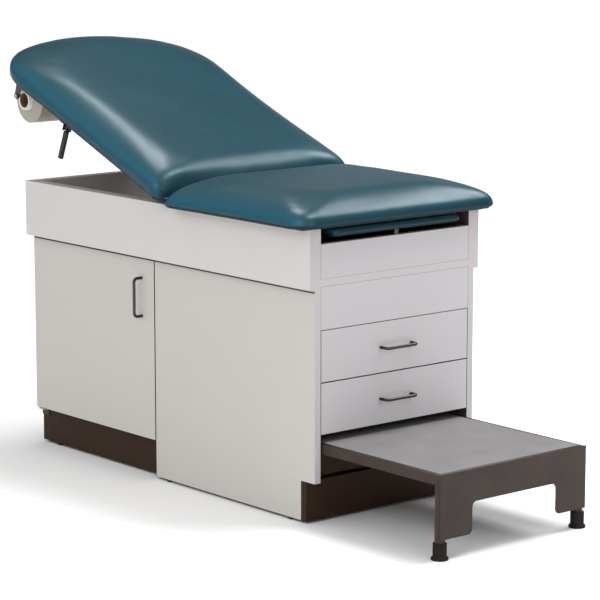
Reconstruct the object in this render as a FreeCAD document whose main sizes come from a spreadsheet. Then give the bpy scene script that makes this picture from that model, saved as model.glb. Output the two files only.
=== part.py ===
import FreeCAD, Part
import math
import os

import Sketcher

# Cabinet treatment table with a tilting backrest, two drawers, a door, a leg rest, a pull-out step
# and a paper roll. Millimetres, +Z up, +X towards the foot end, door side on -Y, floor at Z = 0.

SIZES = {
    # Cabinet
    "cabinet_length": 1220.0,
    "cabinet_width": 562.0,
    "cabinet_height": 742.0,
    "apron_height": 151.0,
    "apron_thick": 15.0,
    "panel_thick": 19.0,
    "well_depth": 126.0,
    "deck_thick": 18.0,
    "partition_set": 9.0,
    "rail_from_hinge": 40.0,
    "glide_height": 7.0,
    "glide_radius": 9.0,
    "glide_foot_set": 100.0,
    "glide_from_seam": 48.0,
    "glide_head_set": 70.0,
    # Kick boards and toe recess
    "toe_depth": 52.0,
    "toe_height": 108.0,
    "kick_thick": 20.0,
    "kick_height": 100.0,
    "foot_rail_low": 118.0,
    "foot_rail_height": 54.0,
    # Door
    "seam_from_hinge": 108.0,
    "door_thick": 18.0,
    "door_gap": 3.0,
    "door_top_gap": 5.0,
    "door_bottom_gap": 4.0,
    "door_edge_gap": 2.0,
    "pivot_radius": 3.0,
    "pivot_clear": 0.08,
    "pivot_in_x": 8.0,
    "pivot_in_y": 7.0,
    "pivot_depth": 14.0,
    "pivot_plate": 3.0,
    "pivot_length": 30.0,
    "pivot_drop": 16.0,
    "pivot_shelf_in": 5.0,
    "catch_height": 40.0,
    "catch_depth": 16.0,
    "catch_wide": 14.0,
    "catch_drop": 60.0,
    "strike_thick": 0.7,
    "strike_clear": 0.3,
    # Pulls
    "pull_span": 102.0,
    "pull_stand": 30.0,
    "pull_wire": 4.0,
    "pull_bend": 11.0,
    "door_pull_in": 54.0,
    "door_pull_mid": 482.0,
    # Foot end
    "leg_slot": 39.0,
    "front_low": 490.0,
    "drawer_pitch": 131.0,
    "drawer_gap": 3.0,
    "drawer_side_gap": 2.0,
    "drawer_front_thick": 19.0,
    "drawer_depth": 480.0,
    "drawer_wall": 12.0,
    "drawer_floor": 6.0,
    "drawer_height": 96.0,
    "drawer_lift": 12.0,
    "runner_width": 13.0,
    "runner_wall": 2.0,
    "runner_height": 40.0,
    "runner_clear": 0.3,
    "runner_back": 1.0,
    # Leg rest
    "leg_side": 36.0,
    "leg_from_hinge": 73.0,
    "leg_out": 9.0,
    "leg_board": 9.0,
    "leg_board_in": 9.0,
    "leg_pad": 20.0,
    "leg_pad_roll": 8.0,
    "leg_pad_slope": 34.0,
    "guide_width": 8.0,
    "guide_height": 12.0,
    "channel_wall": 2.0,
    "channel_clear": 0.3,
    # Step
    "step_stop": 8.0,
    "step_side": 4.0,
    "step_top": 207.0,
    "step_inside": 150.0,
    "step_back_gap": 68.0,
    "step_plate": 2.0,
    "tread_thick": 2.0,
    "tread_in": 12.0,
    "rail_wide": 20.0,
    "rail_tall": 22.0,
    "cross_set": 30.0,
    "fascia_low": 50.0,
    "fascia_leg": 103.0,
    "fascia_cut": 128.0,
    "fascia_round": 14.0,
    "leg_radius": 12.7,
    "leg_in": 12.0,
    "leg_sole": 6.0,
    "tip_height": 40.0,
    "tip_radius": 17.0,
    "tip_foot": 21.0,
    "tip_flare": 10.0,
    "tip_clear": 0.1,
    "guide_plate": 2.5,
    "guide_lip": 12.0,
    "guide_clear": 0.3,
    "guide_end": 60.0,
    # Top: boards, cushions and hinge line
    "hinge_set": 540.0,
    "hinge_rise": 9.0,
    "rest_angle": 21.8,
    "fold_angle": 60.0,
    "fold_clear": 0.8,
    "board_thick": 18.0,
    "board_end": 8.4,
    "board_in": 25.0,
    "rest_gap": 0.5,
    "top_width": 672.0,
    "seat_over": 32.0,
    "cushion_end": 10.4,
    "cushion_lift": 1.0,
    "corner_round": 46.0,
    "hinge_round": 26.0,
    "hinge_slope": 30.0,
    "seat_low": 20.0,
    "seat_high": 46.0,
    "seat_side_slope": 100.0,
    "seat_foot_slope": 90.0,
    "back_low": 30.0,
    "back_high": 44.0,
    "back_side_slope": 62.0,
    "back_head_slope": 70.0,
    "back_length": 893.0,
    "back_round": 190.0,
    "back_bow": 112.0,
    "side_draw": 3.0,
    # Hinges
    "leaf_thick": 2.5,
    "leaf_width": 70.0,
    "leaf_spread": 180.0,
    "knuckle_radius": 5.0,
    "knuckle_length": 20.0,
    "knuckle_gap": 0.4,
    "pin_radius": 2.5,
    "pin_clear": 0.05,
    # Gas spring
    "spring_arm": 352.8,
    "spring_foot_angle": 68.5,
    "spring_head_angle": 7.2,
    "spring_radius": 12.0,
    "spring_bore": 10.5,
    "spring_neck": 24.0,
    "spring_body": 318.0,
    "spring_guide": 12.0,
    "spring_rod": 5.0,
    "spring_stem": 325.0,
    "piston_clear": 0.3,
    "piston_thick": 10.0,
    "eye_radius": 9.0,
    "eye_width": 16.0,
    "eye_pin": 4.0,
    "ear_thick": 3.0,
    "ear_gap": 0.5,
    "ear_wide": 26.0,
    "ear_over": 9.0,
    "slot_width": 36.0,
    "slot_head": 300.0,
    "slot_foot": 134.0,
    # Release lever and cable
    "lever_set": 472.0,
    "lever_in": 35.0,
    "lever_drop": 11.0,
    "lever_length": 86.0,
    "lever_rod": 4.0,
    "lever_eye": 6.0,
    "lever_width": 10.0,
    "lever_arm": 16.0,
    "grip_radius": 7.5,
    "grip_start": 12.0,
    "cable_radius": 3.0,
    "cable_groove": 9.0,
    "cable_bend": 60.0,
    "cable_side": 24.0,
    # Paper roll
    "roll_from_end": 127.0,
    "roll_drop": 86.0,
    "roll_width": 457.0,
    "roll_shift": 19.0,
    "roll_step": 13.0,
    "roll_lip": 2.0,
    "roll_radius": 63.0,
    "roll_inner": 26.5,
    "core_radius": 20.5,
    "core_bore": 19.0,
    "roll_rod": 4.0,
    "rod_clear": 0.3,
    "tab_thick": 3.0,
    "tab_gap": 21.5,
    "tab_end": 10.0,
    "tab_root": 30.0,
    "tab_flange": 22.0,
}

doc = FreeCAD.newDocument("treatment_table")
sheet = doc.addObject("Spreadsheet::Sheet", "dims")


class Size:
    """A value together with the spreadsheet formula that gives it."""

    def __init__(self, text, value):
        self.text = text
        self.value = value

    def joined(self, sign, other, value):
        return Size(f"({self.text} {sign} {other.text})", value)

    def __add__(self, other):
        other = as_size(other)
        return self.joined("+", other, self.value + other.value)

    def __sub__(self, other):
        other = as_size(other)
        return self.joined("-", other, self.value - other.value)

    def __mul__(self, other):
        other = as_size(other)
        return self.joined("*", other, self.value * other.value)

    def __truediv__(self, other):
        other = as_size(other)
        return self.joined("/", other, self.value / other.value)

    def __radd__(self, other):
        return as_size(other) + self

    def __rsub__(self, other):
        return as_size(other) - self

    def __rmul__(self, other):
        return as_size(other) * self

    def __neg__(self):
        return as_size(0) - self


def as_size(thing):
    if isinstance(thing, Size):
        return thing
    return Size(f"({thing!r})", float(thing))


def cosine(angle):
    return Size(f"cos({angle.text})", math.cos(math.radians(angle.value)))


def sine(angle):
    return Size(f"sin({angle.text})", math.sin(math.radians(angle.value)))


class Sizes:
    """The driving sizes, one attribute for each spreadsheet alias."""


d = Sizes()
for row, (alias, number) in enumerate(SIZES.items(), start=1):
    sheet.set(f"A{row}", alias)
    sheet.set(f"B{row}", str(number))
    sheet.setAlias(f"B{row}", alias)
    setattr(d, alias, Size(f"dims.{alias}", number))
doc.recompute()

ZERO = as_size(0)
nodes = []


def node(obj, label):
    obj.Label = label
    nodes.append(obj)
    return obj


def bind(obj, prop, amount):
    obj.setExpression(prop, as_size(amount).text)


class Frame:
    """A place that pieces are built in: an origin and a turn about Y."""

    def __init__(self, x, z, angle=None):
        self.x = as_size(x)
        self.z = as_size(z)
        self.angle = angle

    def world(self, x, z):
        if self.angle is None:
            return self.x + x, self.z + z
        across = cosine(self.angle)
        rise = sine(self.angle)
        return self.x + across * x + rise * z, self.z + across * z - rise * x

    def put(self, obj, x=ZERO, y=ZERO, z=ZERO):
        wx, wz = self.world(as_size(x), as_size(z))
        if self.angle is not None:
            turn = FreeCAD.Rotation(FreeCAD.Vector(0, 1, 0), self.angle.value)
            obj.Placement = FreeCAD.Placement(FreeCAD.Vector(), turn)
            bind(obj, "Placement.Rotation.Angle", self.angle)
        bind(obj, "Placement.Base.x", wx)
        bind(obj, "Placement.Base.y", y)
        bind(obj, "Placement.Base.z", wz)
        return obj


WORLD = Frame(0, 0)
TURN = {
    "x": FreeCAD.Rotation(FreeCAD.Vector(0, 1, 0), 90),
    "y": FreeCAD.Rotation(FreeCAD.Vector(1, 0, 0), -90),
    "z": FreeCAD.Rotation(),
}


def box(name, x, y, z, frame=WORLD):
    obj = doc.addObject("Part::Box", name)
    for prop, (low, high) in (("Length", x), ("Width", y), ("Height", z)):
        bind(obj, prop, as_size(high) - low)
    return frame.put(obj, x[0], y[0], z[0])


def rod(name, radius, along, start, length):
    obj = doc.addObject("Part::Cylinder", name)
    bind(obj, "Radius", radius)
    bind(obj, "Height", length)
    obj.Placement = FreeCAD.Placement(FreeCAD.Vector(), TURN[along])
    for axis, amount in zip("xyz", start):
        bind(obj, f"Placement.Base.{axis}", amount)
    return obj


def fuse(name, pieces):
    obj = doc.addObject("Part::MultiFuse", name)
    obj.Shapes = pieces
    return obj


def cut(name, base, tool):
    obj = doc.addObject("Part::Cut", name)
    obj.Base = base
    obj.Tool = tool
    return obj


def group(name, pieces):
    obj = doc.addObject("Part::Compound", name)
    obj.Links = pieces
    return obj


def outline(body, name, plane, points):
    sketch = body.newObject("Sketcher::SketchObject", name)
    support = [f for f in body.Origin.OriginFeatures if f.Role == plane][0]
    sketch.AttachmentSupport = [(support, "")]
    sketch.MapMode = "FlatFace"
    spots = [(as_size(a), as_size(b)) for a, b in points]
    count = len(spots)
    for i in range(count):
        start = FreeCAD.Vector(spots[i][0].value, spots[i][1].value, 0)
        end_spot = spots[(i + 1) % count]
        end = FreeCAD.Vector(end_spot[0].value, end_spot[1].value, 0)
        sketch.addGeometry(Part.LineSegment(start, end), False)
    for i in range(count):
        sketch.addConstraint(Sketcher.Constraint("Coincident", i, 2, (i + 1) % count, 1))
    for i, spot in enumerate(spots):
        for kind, axis, amount in (("DistanceX", -2, spot[0]), ("DistanceY", -1, spot[1])):
            if amount.value == 0:
                sketch.addConstraint(Sketcher.Constraint("PointOnObject", i, 1, axis))
                continue
            index = sketch.addConstraint(Sketcher.Constraint(kind, -1, 1, i, 1, amount.value))
            sketch.setExpression(f"Constraints[{index}]", amount.text)
    return sketch


def padded(name, plane, points, depth):
    body = doc.addObject("PartDesign::Body", name)
    pad = body.newObject("PartDesign::Pad", name + "_pad")
    pad.Profile = outline(body, name + "_outline", plane, points)
    bind(pad, "Length", depth)
    return body, pad


def round_edges(body, base, radius, wanted):
    doc.recompute()
    names = []
    for index, edge in enumerate(base.Shape.Edges, start=1):
        if wanted(edge):
            names.append(f"Edge{index}")
    fillet = body.newObject("PartDesign::Fillet", body.Name + f"_round{len(body.Group)}")
    fillet.Base = (base, names)
    bind(fillet, "Radius", radius)
    return fillet


def revolved(name, points):
    """Points are (radius, height); the axis is the body's own Z."""
    body = doc.addObject("PartDesign::Body", name)
    profile = outline(body, name + "_profile", "XZ_Plane", points)
    turn = body.newObject("PartDesign::Revolution", name + "_turn")
    turn.Profile = profile
    turn.ReferenceAxis = (profile, ["V_Axis"])
    turn.Angle = 360
    return body


def shaped(name, shape):
    obj = doc.addObject("Part::Feature", name)
    obj.Shape = shape
    return obj


# Shared lines of the cabinet
half_width = d.cabinet_width / 2
y_skin = half_width - d.apron_thick
y_in = y_skin - d.panel_thick
y_carcass = d.door_gap - y_in
half_top = d.top_width / 2

hinge_z = d.cabinet_height + d.hinge_rise
back_base = d.rest_gap - d.hinge_rise + d.cushion_lift + d.back_low
head_reach = (d.hinge_set + (d.back_length - d.back_low) * cosine(d.rest_angle)
              - back_base * sine(d.rest_angle) + d.back_low)
step_travel = (d.hinge_set + d.seam_from_hinge + d.partition_set - d.panel_thick - d.step_inside
               - d.step_back_gap)
step_reach = step_travel + d.step_stop
leg_x = step_reach - d.step_plate - d.leg_radius
foot_reach = leg_x + d.tip_foot
x_foot = (head_reach - foot_reach) / 2
x_head = x_foot - d.cabinet_length
x_head_skin = x_head + d.apron_thick
x_head_in = x_head_skin + d.panel_thick
hinge_x = x_foot - d.hinge_set
x_seam = hinge_x - d.seam_from_hinge
x_partition = x_seam - d.partition_set
x_rail = hinge_x + d.rail_from_hinge
x_toe = x_foot - d.toe_depth

z_top = d.cabinet_height
z_apron = z_top - d.apron_height
z_deck = z_top - d.well_depth
z_deck_low = z_deck - d.deck_thick
z_slot = z_top - d.leg_slot

BACK = Frame(hinge_x, hinge_z, d.rest_angle)


def side_panels():
    toe = [(x_toe, d.glide_height), (x_toe, d.toe_height), (x_foot, d.toe_height), (x_foot, z_top)]
    near = [(x_head_skin, z_top), (x_head_skin, z_apron), (x_seam, z_apron), (x_seam, d.glide_height)]
    body, pad = padded("near_side_panel", "XZ_Plane", near + toe, d.panel_thick)
    node(WORLD.put(body, y=-y_in), "near_side_panel")
    far = [(x_head_skin, z_top), (x_head_skin, d.glide_height)]
    body, pad = padded("far_side_panel", "XZ_Plane", far + toe, d.panel_thick)
    node(WORLD.put(body, y=y_skin), "far_side_panel")


def cabinet_boards():
    inside = (-y_in, y_in)
    carcass = (y_carcass, y_in)
    x_front = (x_foot - d.panel_thick, x_foot)
    x_head_board = (x_head_skin, x_head_in)
    x_toe_board = (x_toe, x_toe + d.kick_thick)
    boards = {
        "head_panel": (x_head_board, carcass, (d.kick_height, z_top)),
        "partition_panel": ((x_partition, x_partition + d.panel_thick), inside,
                            (d.kick_height, z_deck_low)),
        "compartment_floor": ((x_head_in, x_partition), carcass,
                              (d.kick_height, d.kick_height + d.panel_thick)),
        "upper_front_panel": (x_front, inside, (d.front_low, z_deck_low)),
        "apron_front_board": (x_front, inside, (z_deck, z_slot)),
        "apron_near": ((x_head, x_foot), (-half_width, -y_skin), (z_apron, z_top)),
        "apron_far": ((x_head, x_foot), (y_skin, half_width), (z_apron, z_top)),
        "apron_head": ((x_head, x_head_skin), (-y_skin, y_skin), (z_apron, z_top)),
        "kick_foot": (x_toe_board, (-y_skin, y_skin), (d.glide_height, d.toe_height)),
        "foot_rail": (x_toe_board, inside, (d.foot_rail_low, d.foot_rail_low + d.foot_rail_height)),
        "kick_door": ((x_head_skin, x_seam), (y_carcass, y_carcass + d.panel_thick),
                      (d.glide_height, d.kick_height)),
        "kick_head": (x_head_board, (y_carcass + d.panel_thick, y_in), (d.glide_height, d.kick_height)),
        "seat_cross_rail": ((x_rail - d.panel_thick, x_rail), inside, (z_deck, z_top)),
    }
    for label, (x, y, z) in boards.items():
        node(box(label, x, y, z), label)
    deck = box("deck_blank", (x_head_in, x_foot), inside, (z_deck_low, z_deck))
    slot = box("deck_slot", (hinge_x - d.slot_head, hinge_x - d.slot_foot),
               (-d.slot_width / 2, d.slot_width / 2), (z_deck_low - 1, z_deck + 1))
    node(cut("deck_panel", deck, slot), "deck_panel")


def floor_glides():
    near_y = -(y_in + d.panel_thick / 2)
    kick_y = y_carcass + d.panel_thick / 2
    spots = [(x_foot - d.glide_foot_set, near_y), (x_seam + d.glide_from_seam, near_y),
             (x_head_skin + d.glide_head_set, kick_y), (x_foot - d.glide_foot_set, -near_y),
             (x_seam + d.glide_from_seam, -near_y), (x_head_skin + d.glide_head_set, -near_y)]
    bevel = d.glide_height / 4
    glides = []
    for index, (x, y) in enumerate(spots):
        profile = [(0, 0), (d.glide_radius - bevel, 0), (d.glide_radius, bevel),
                   (d.glide_radius, d.glide_height), (0, d.glide_height)]
        glide = revolved(f"glide_{index}", profile)
        glides.append(WORLD.put(glide, x, y))
    node(group("floor_glides", glides), "floor_glides")


door_x = (x_head_skin, x_seam - d.door_edge_gap)
door_y = (-y_skin, d.door_thick - y_skin)
door_z = (d.kick_height + d.door_bottom_gap, z_apron - d.door_top_gap)
pivot_x = x_head_skin + d.pivot_in_x
pivot_y = door_y[1] - d.pivot_in_y


def door():
    slab = box("door_slab", door_x, door_y, door_z)
    hole = d.pivot_radius + d.pivot_clear
    depth = d.pivot_depth + 1
    low = rod("door_low_hole", hole, "z", (pivot_x, pivot_y, door_z[0]), depth)
    high = rod("door_high_hole", hole, "z", (pivot_x, pivot_y, door_z[1] - depth), depth)
    node(cut("door_panel", slab, fuse("door_holes", [low, high])), "door_panel")
    node(wire_pull("door_pull", "z", (door_x[1] - d.door_pull_in, door_y[0], d.door_pull_mid)), "door_pull")
    catch_x = (x_partition - d.catch_wide, x_partition)
    catch_z = (z_deck_low - d.catch_drop, z_deck_low - d.catch_drop + d.catch_height)
    front = door_y[1] + d.strike_thick
    node(box("door_strike", catch_x, (door_y[1], front), catch_z), "door_strike")
    catch_y = (front + d.strike_clear, front + d.strike_clear + d.catch_depth)
    node(box("door_catch", catch_x, catch_y, catch_z), "door_catch")


def door_pivots():
    x = (x_head_skin, x_head_skin + d.pivot_length)
    shelf_low = door_z[0] - d.door_bottom_gap - d.pivot_plate
    shelf_y = (door_y[0] + d.pivot_shelf_in, y_carcass)
    shelf = box("pivot_shelf", x, shelf_y, (shelf_low, shelf_low + d.pivot_plate))
    flange = box("pivot_flange", x, (y_carcass - d.pivot_plate, y_carcass),
                 (shelf_low - d.pivot_drop, shelf_low))
    low_length = d.pivot_plate + d.door_bottom_gap + d.pivot_depth
    low_pin = rod("pivot_low_pin", d.pivot_radius, "z", (pivot_x, pivot_y, shelf_low), low_length)
    plate = box("pivot_plate_top", x, (door_y[0], door_y[1]), (z_apron - d.pivot_plate, z_apron))
    high_start = door_z[1] - d.pivot_depth
    high_pin = rod("pivot_high_pin", d.pivot_radius, "z", (pivot_x, pivot_y, high_start),
                   z_apron - high_start)
    lower = fuse("pivot_lower", [shelf, flange, low_pin])
    upper = fuse("pivot_upper", [plate, high_pin])
    node(group("door_pivots", [lower, upper]), "door_pivots")


def wire_pull(name, along, base):
    """Bent wire: two posts and a grip bar, standing off the face that its base point lies on."""
    half = d.pull_span.value / 2
    stand = d.pull_stand.value - d.pull_wire.value
    bend = d.pull_bend.value
    nook = bend * (1 - math.sqrt(0.5))
    flat = [(-half, 0), (-half, stand - bend), (-half + nook, stand - nook), (-half + bend, stand),
            (half - bend, stand), (half - nook, stand - nook), (half, stand - bend), (half, 0)]
    if along == "z":
        spots = [FreeCAD.Vector(0, -out, run) for run, out in flat]
        facing = FreeCAD.Vector(0, -1, 0)
    else:
        spots = [FreeCAD.Vector(out, run, 0) for run, out in flat]
        facing = FreeCAD.Vector(1, 0, 0)
    path = Part.Wire([
        Part.LineSegment(spots[0], spots[1]).toShape(),
        Part.Arc(spots[1], spots[2], spots[3]).toShape(),
        Part.LineSegment(spots[3], spots[4]).toShape(),
        Part.Arc(spots[4], spots[5], spots[6]).toShape(),
        Part.LineSegment(spots[6], spots[7]).toShape(),
    ])
    section = Part.Wire([Part.makeCircle(d.pull_wire.value, spots[0], facing)])
    obj = shaped(name, path.makePipeShell([section], True, False))
    for axis, amount in zip("xyz", base):
        bind(obj, f"Placement.Base.{axis}", amount)
    return obj


def runner_pair(name, z_mid, moving):
    """Left and right drawer rails: the fixed channel, or the bar that slides in it."""
    tall = d.runner_height / 2
    x_back = x_foot - d.drawer_front_thick - d.drawer_depth
    x_run = (x_back, x_foot - d.drawer_front_thick - d.runner_back)
    pieces = []
    for side in (-1, 1):
        inner = y_in - d.runner_width
        wall = d.runner_wall
        clear = wall + d.runner_clear
        if moving:
            lo, hi = inner, y_in - clear
            bar = tall - clear
            y = (side * lo, side * hi) if side > 0 else (side * hi, side * lo)
            pieces.append(box(f"{name}_bar{side + 1}", x_run, y, (z_mid - bar, z_mid + bar)))
            continue
        reach = y_in - d.runner_width + clear
        spans = {"web": (y_in - wall, y_in, -tall, tall), "sole": (reach, y_in, -tall, wall - tall),
                 "lid": (reach, y_in, tall - wall, tall)}
        parts = []
        for part, (lo, hi, low, high) in spans.items():
            y = (lo, hi) if side > 0 else (-hi, -lo)
            parts.append(box(f"{name}_{part}{side + 1}", x_run, y, (z_mid + low, z_mid + high)))
        pieces.append(fuse(f"{name}_channel{side + 1}", parts))
    return pieces


def drawer(label, z_high):
    z_low = z_high - d.drawer_pitch
    side = y_in - d.drawer_side_gap
    gap = d.drawer_gap / 2
    x_back = x_foot - d.drawer_front_thick
    front = box(label + "_front", (x_back, x_foot), (-side, side), (z_low + gap, z_high - gap))
    node(front, label + "_front")
    wide = y_in - d.runner_width
    base = z_low + d.drawer_lift
    outer = box(label + "_block", (x_back - d.drawer_depth, x_back), (-wide, wide),
                (base, base + d.drawer_height))
    wall = d.drawer_wall
    inner = box(label + "_space", (x_back - d.drawer_depth + wall, x_back - wall),
                (wall - wide, wide - wall), (base + d.drawer_floor, base + d.drawer_height + 1))
    node(cut(label + "_box", outer, inner), label + "_box")
    z_mid = z_low + d.drawer_pitch / 2
    node(wire_pull(label + "_pull", "y", (x_foot, ZERO, z_mid)), label + "_pull")
    z_rail = base + d.drawer_height / 2
    node(group(label + "_rails", runner_pair(label + "_rail", z_rail, True)), label + "_rails")
    return runner_pair(label + "_runner", z_rail, False)


def drawers():
    fixed = drawer("upper_drawer", d.front_low)
    fixed += drawer("lower_drawer", d.front_low - d.drawer_pitch)
    node(group("drawer_runners", fixed), "drawer_runners")


def leg_rest():
    half_guide = d.guide_width / 2
    guide = box("leg_rest_guide", (x_rail, x_foot - d.runner_back), (-half_guide, half_guide),
                (z_slot, z_slot + d.guide_height))
    node(guide, "leg_rest_guide")
    inner = half_guide + d.channel_clear
    outer = inner + d.channel_wall
    web_low = z_slot + d.guide_height + d.channel_clear
    web_high = web_low + d.channel_wall
    x_back = hinge_x + d.leg_from_hinge
    run = (x_back + d.leg_board_in, x_foot)
    block = box("leg_channel_block", run, (-outer, outer), (z_slot + d.channel_clear, web_high))
    groove = box("leg_channel_groove", (run[0] - 1, run[1] + 1), (-inner, inner), (z_slot, web_low))
    node(cut("leg_rest_channel", block, groove), "leg_rest_channel")
    half_pad = y_in - d.leg_side
    board_half = half_pad - d.leg_board_in
    board = box("leg_rest_board", (x_back + d.leg_board_in, x_foot + d.leg_out - d.leg_board_in),
                (-board_half, board_half), (web_high, web_high + d.leg_board))
    node(board, "leg_rest_board")
    doc.recompute()
    form = [(x_back.value, (x_foot + d.leg_out).value), half_pad.value]
    levels = roll_levels(d.leg_pad_roll.value, d.leg_pad.value - d.leg_pad_roll.value,
                         (d.leg_pad_slope.value,))
    wires = []
    for (inset,), height in levels:
        x_low, x_high = form[0][0] + inset, form[0][1] - inset
        wide = form[1] - inset
        corner = d.leg_pad_roll.value * 1.5 + inset / 2
        wires.append(rounded_wire(x_low, x_high, wide, corner, corner, 0.0, 0.0,
                                  web_high.value + d.rest_gap.value + height))
    pad = Part.makeLoft(wires, True, False)
    node(shaped("leg_rest_pad", pad.cut(board.Shape)), "leg_rest_pad")


def step():
    half = y_in - d.step_side
    x_front = x_foot + step_reach
    x_plate = x_front - d.step_plate
    x_back = x_foot - d.step_inside
    deck_high = d.step_top - d.tread_thick
    deck_low = deck_high - d.step_plate
    rail_low = deck_low - d.rail_tall
    node(box("step_deck", (x_back, x_plate), (-half, half), (deck_low, deck_high)), "step_deck")
    node(box("step_tread", (x_back + d.tread_in, x_plate - d.tread_in),
             (d.tread_in - half, half - d.tread_in), (deck_high, d.step_top)), "step_tread")
    leg_y = half - d.leg_in
    pieces = []
    for side in (-1, 1):
        y = (half - d.rail_wide, half) if side > 0 else (-half, d.rail_wide - half)
        pieces.append(box(f"step_rail{side + 1}", (x_back, x_plate), y, (rail_low, deck_low)))
        spot = (x_foot + leg_x, side * leg_y, d.leg_sole)
        pieces.append(rod(f"step_leg{side + 1}", d.leg_radius, "z", spot, deck_low - d.leg_sole))
    for index, x in enumerate((x_back, x_plate - 2 * d.leg_radius - d.cross_set)):
        pieces.append(box(f"step_cross{index}", (x, x + d.rail_wide), (d.rail_wide - half, half - d.rail_wide),
                          (rail_low, deck_low)))
    node(fuse("step_frame", pieces), "step_frame")
    inner = half - d.fascia_leg
    points = [(-half, d.fascia_low), (-inner, d.fascia_low), (-inner, d.fascia_cut), (inner, d.fascia_cut),
              (inner, d.fascia_low), (half, d.fascia_low), (half, d.step_top), (-half, d.step_top)]
    body, pad = padded("step_fascia", "YZ_Plane", points, d.step_plate)

    def cut_corner(edge):
        spot = edge.CenterOfMass
        along_x = abs(edge.BoundBox.YLength) + abs(edge.BoundBox.ZLength) < 0.001
        return along_x and abs(spot.y) < half.value - 1

    round_edges(body, pad, d.fascia_round, cut_corner)
    node(WORLD.put(body, x=x_plate), "step_fascia")
    bore = d.leg_radius + d.tip_clear
    tips = []
    for side in (-1, 1):
        profile = [(0, 0), (d.tip_foot, 0), (d.tip_foot, d.tip_flare / 2), (d.tip_radius, d.tip_flare),
                   (d.tip_radius, d.tip_height), (bore, d.tip_height), (bore, d.leg_sole), (0, d.leg_sole)]
        tip = revolved(f"step_tip{side + 1}", profile)
        tips.append(WORLD.put(tip, x_foot + leg_x, side * leg_y))
    node(group("step_tips", tips), "step_tips")
    step_guides(rail_low, deck_high, half)


def step_guides(rail_low, deck_high, half):
    plate = d.guide_plate
    sole_high = rail_low - d.guide_clear
    lip_low = deck_high + d.guide_clear
    x = (x_foot - d.step_inside - step_travel, x_foot - d.guide_end)
    channels = []
    for side in (-1, 1):
        spans = {
            "web": (y_in - plate, y_in, sole_high - plate, lip_low + plate),
            "sole": (half - d.rail_wide, y_in, sole_high - plate, sole_high),
            "lip": (half - d.guide_lip, y_in, lip_low, lip_low + plate),
        }
        parts = []
        for part, (lo, hi, low, high) in spans.items():
            y = (lo, hi) if side > 0 else (-hi, -lo)
            parts.append(box(f"step_guide_{part}{side + 1}", x, y, (low, high)))
        channels.append(fuse(f"step_guide{side + 1}", parts))
    node(group("step_guides", channels), "step_guides")


def rounded_wire(x_low, x_high, wide, round_low, round_high, draw, bow, z):
    """Closed outline of lines and arcs; the high end bows out and the sides draw in."""
    side = []
    root = math.sqrt(0.5)

    def corner(cx, cy, radius, start):
        spots = []
        for turn in (0, 45, 90):
            angle = math.radians(start + turn)
            spots.append(FreeCAD.Vector(cx + radius * math.cos(angle), cy + radius * math.sin(angle), z))
        return spots

    flat_end = x_high - bow
    low_near = corner(x_low + round_low, round_low - wide, round_low, 180)
    low_far = corner(x_low + round_low, wide - round_low, round_low, 90)
    if bow > 0:
        radius = (wide * wide + bow * bow) / (2 * bow)
        cx = x_high - radius
        cy = wide - round_high
        mid_x = cx + math.sqrt((radius - round_high) ** 2 - cy ** 2)
        reach = math.atan2(cy, mid_x - cx)
        half_turn = (reach + math.pi / 2) / 2

        def blend(angle, sign):
            return FreeCAD.Vector(mid_x + round_high * math.cos(angle),
                                  sign * (cy + round_high * math.sin(angle)), z)

        high_near = [blend(math.pi / 2, -1), blend(half_turn, -1), blend(reach, -1)]
        high_far = [blend(reach, 1), blend(half_turn, 1), blend(math.pi / 2, 1)]
        crest = FreeCAD.Vector(x_high, 0, z)
    else:
        high_near = corner(x_high - round_high, round_high - wide, round_high, 270)
        high_far = corner(x_high - round_high, wide - round_high, round_high, 0)
        crest = FreeCAD.Vector(flat_end, 0, z)

    def span(start, end, pull):
        if pull is None:
            return Part.LineSegment(start, end).toShape()
        return Part.Arc(start, pull, end).toShape()

    def pulled(start, end, sign):
        if draw == 0:
            return None
        middle = (start + end) * 0.5
        return FreeCAD.Vector(middle.x, middle.y + sign * draw, z)

    side.append(span(low_near[2], high_near[0], pulled(low_near[2], high_near[0], 1)))
    side.append(Part.Arc(*high_near).toShape())
    side.append(span(high_near[2], high_far[0], crest if bow > 0 else None))
    side.append(Part.Arc(*high_far).toShape())
    side.append(span(high_far[2], low_far[0], pulled(high_far[2], low_far[0], -1)))
    side.append(Part.Arc(*low_far).toShape())
    side.append(span(low_far[2], low_near[0], None))
    side.append(Part.Arc(*low_near).toShape())
    return Part.Wire(side)


LEVELS = 17
TUCK = 75
FINE = 200


def roll_levels(low, high, slopes):
    """Levels evenly spaced up a cushion's side: a round tuck below, then a crown.

    Each is (insets, height) with one inset for each of the slopes; the first slope sets the spacing.
    """
    fine = []
    for i in range(FINE + 1):
        turn = math.radians(TUCK * (i / FINE - 1))
        inset = low * (1 - math.cos(turn))
        fine.append(([inset] * len(slopes), low * (1 + math.sin(turn))))
    for i in range(1, FINE + 1):
        turn = math.radians(90 * i / FINE)
        fine.append(([slope * (1 - math.cos(turn)) for slope in slopes], low + high * math.sin(turn)))
    runs = [0.0]
    for before, after in zip(fine, fine[1:]):
        runs.append(runs[-1] + math.dist((before[0][0], before[1]), (after[0][0], after[1])))
    levels = []
    for i in range(LEVELS):
        wanted = runs[-1] * i / (LEVELS - 1)
        nearest = min(range(len(runs)), key=lambda k: abs(runs[k] - wanted))
        levels.append(fine[nearest])
    return levels


fold_slope = math.tan(math.radians(SIZES["fold_angle"] / 2))


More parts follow.
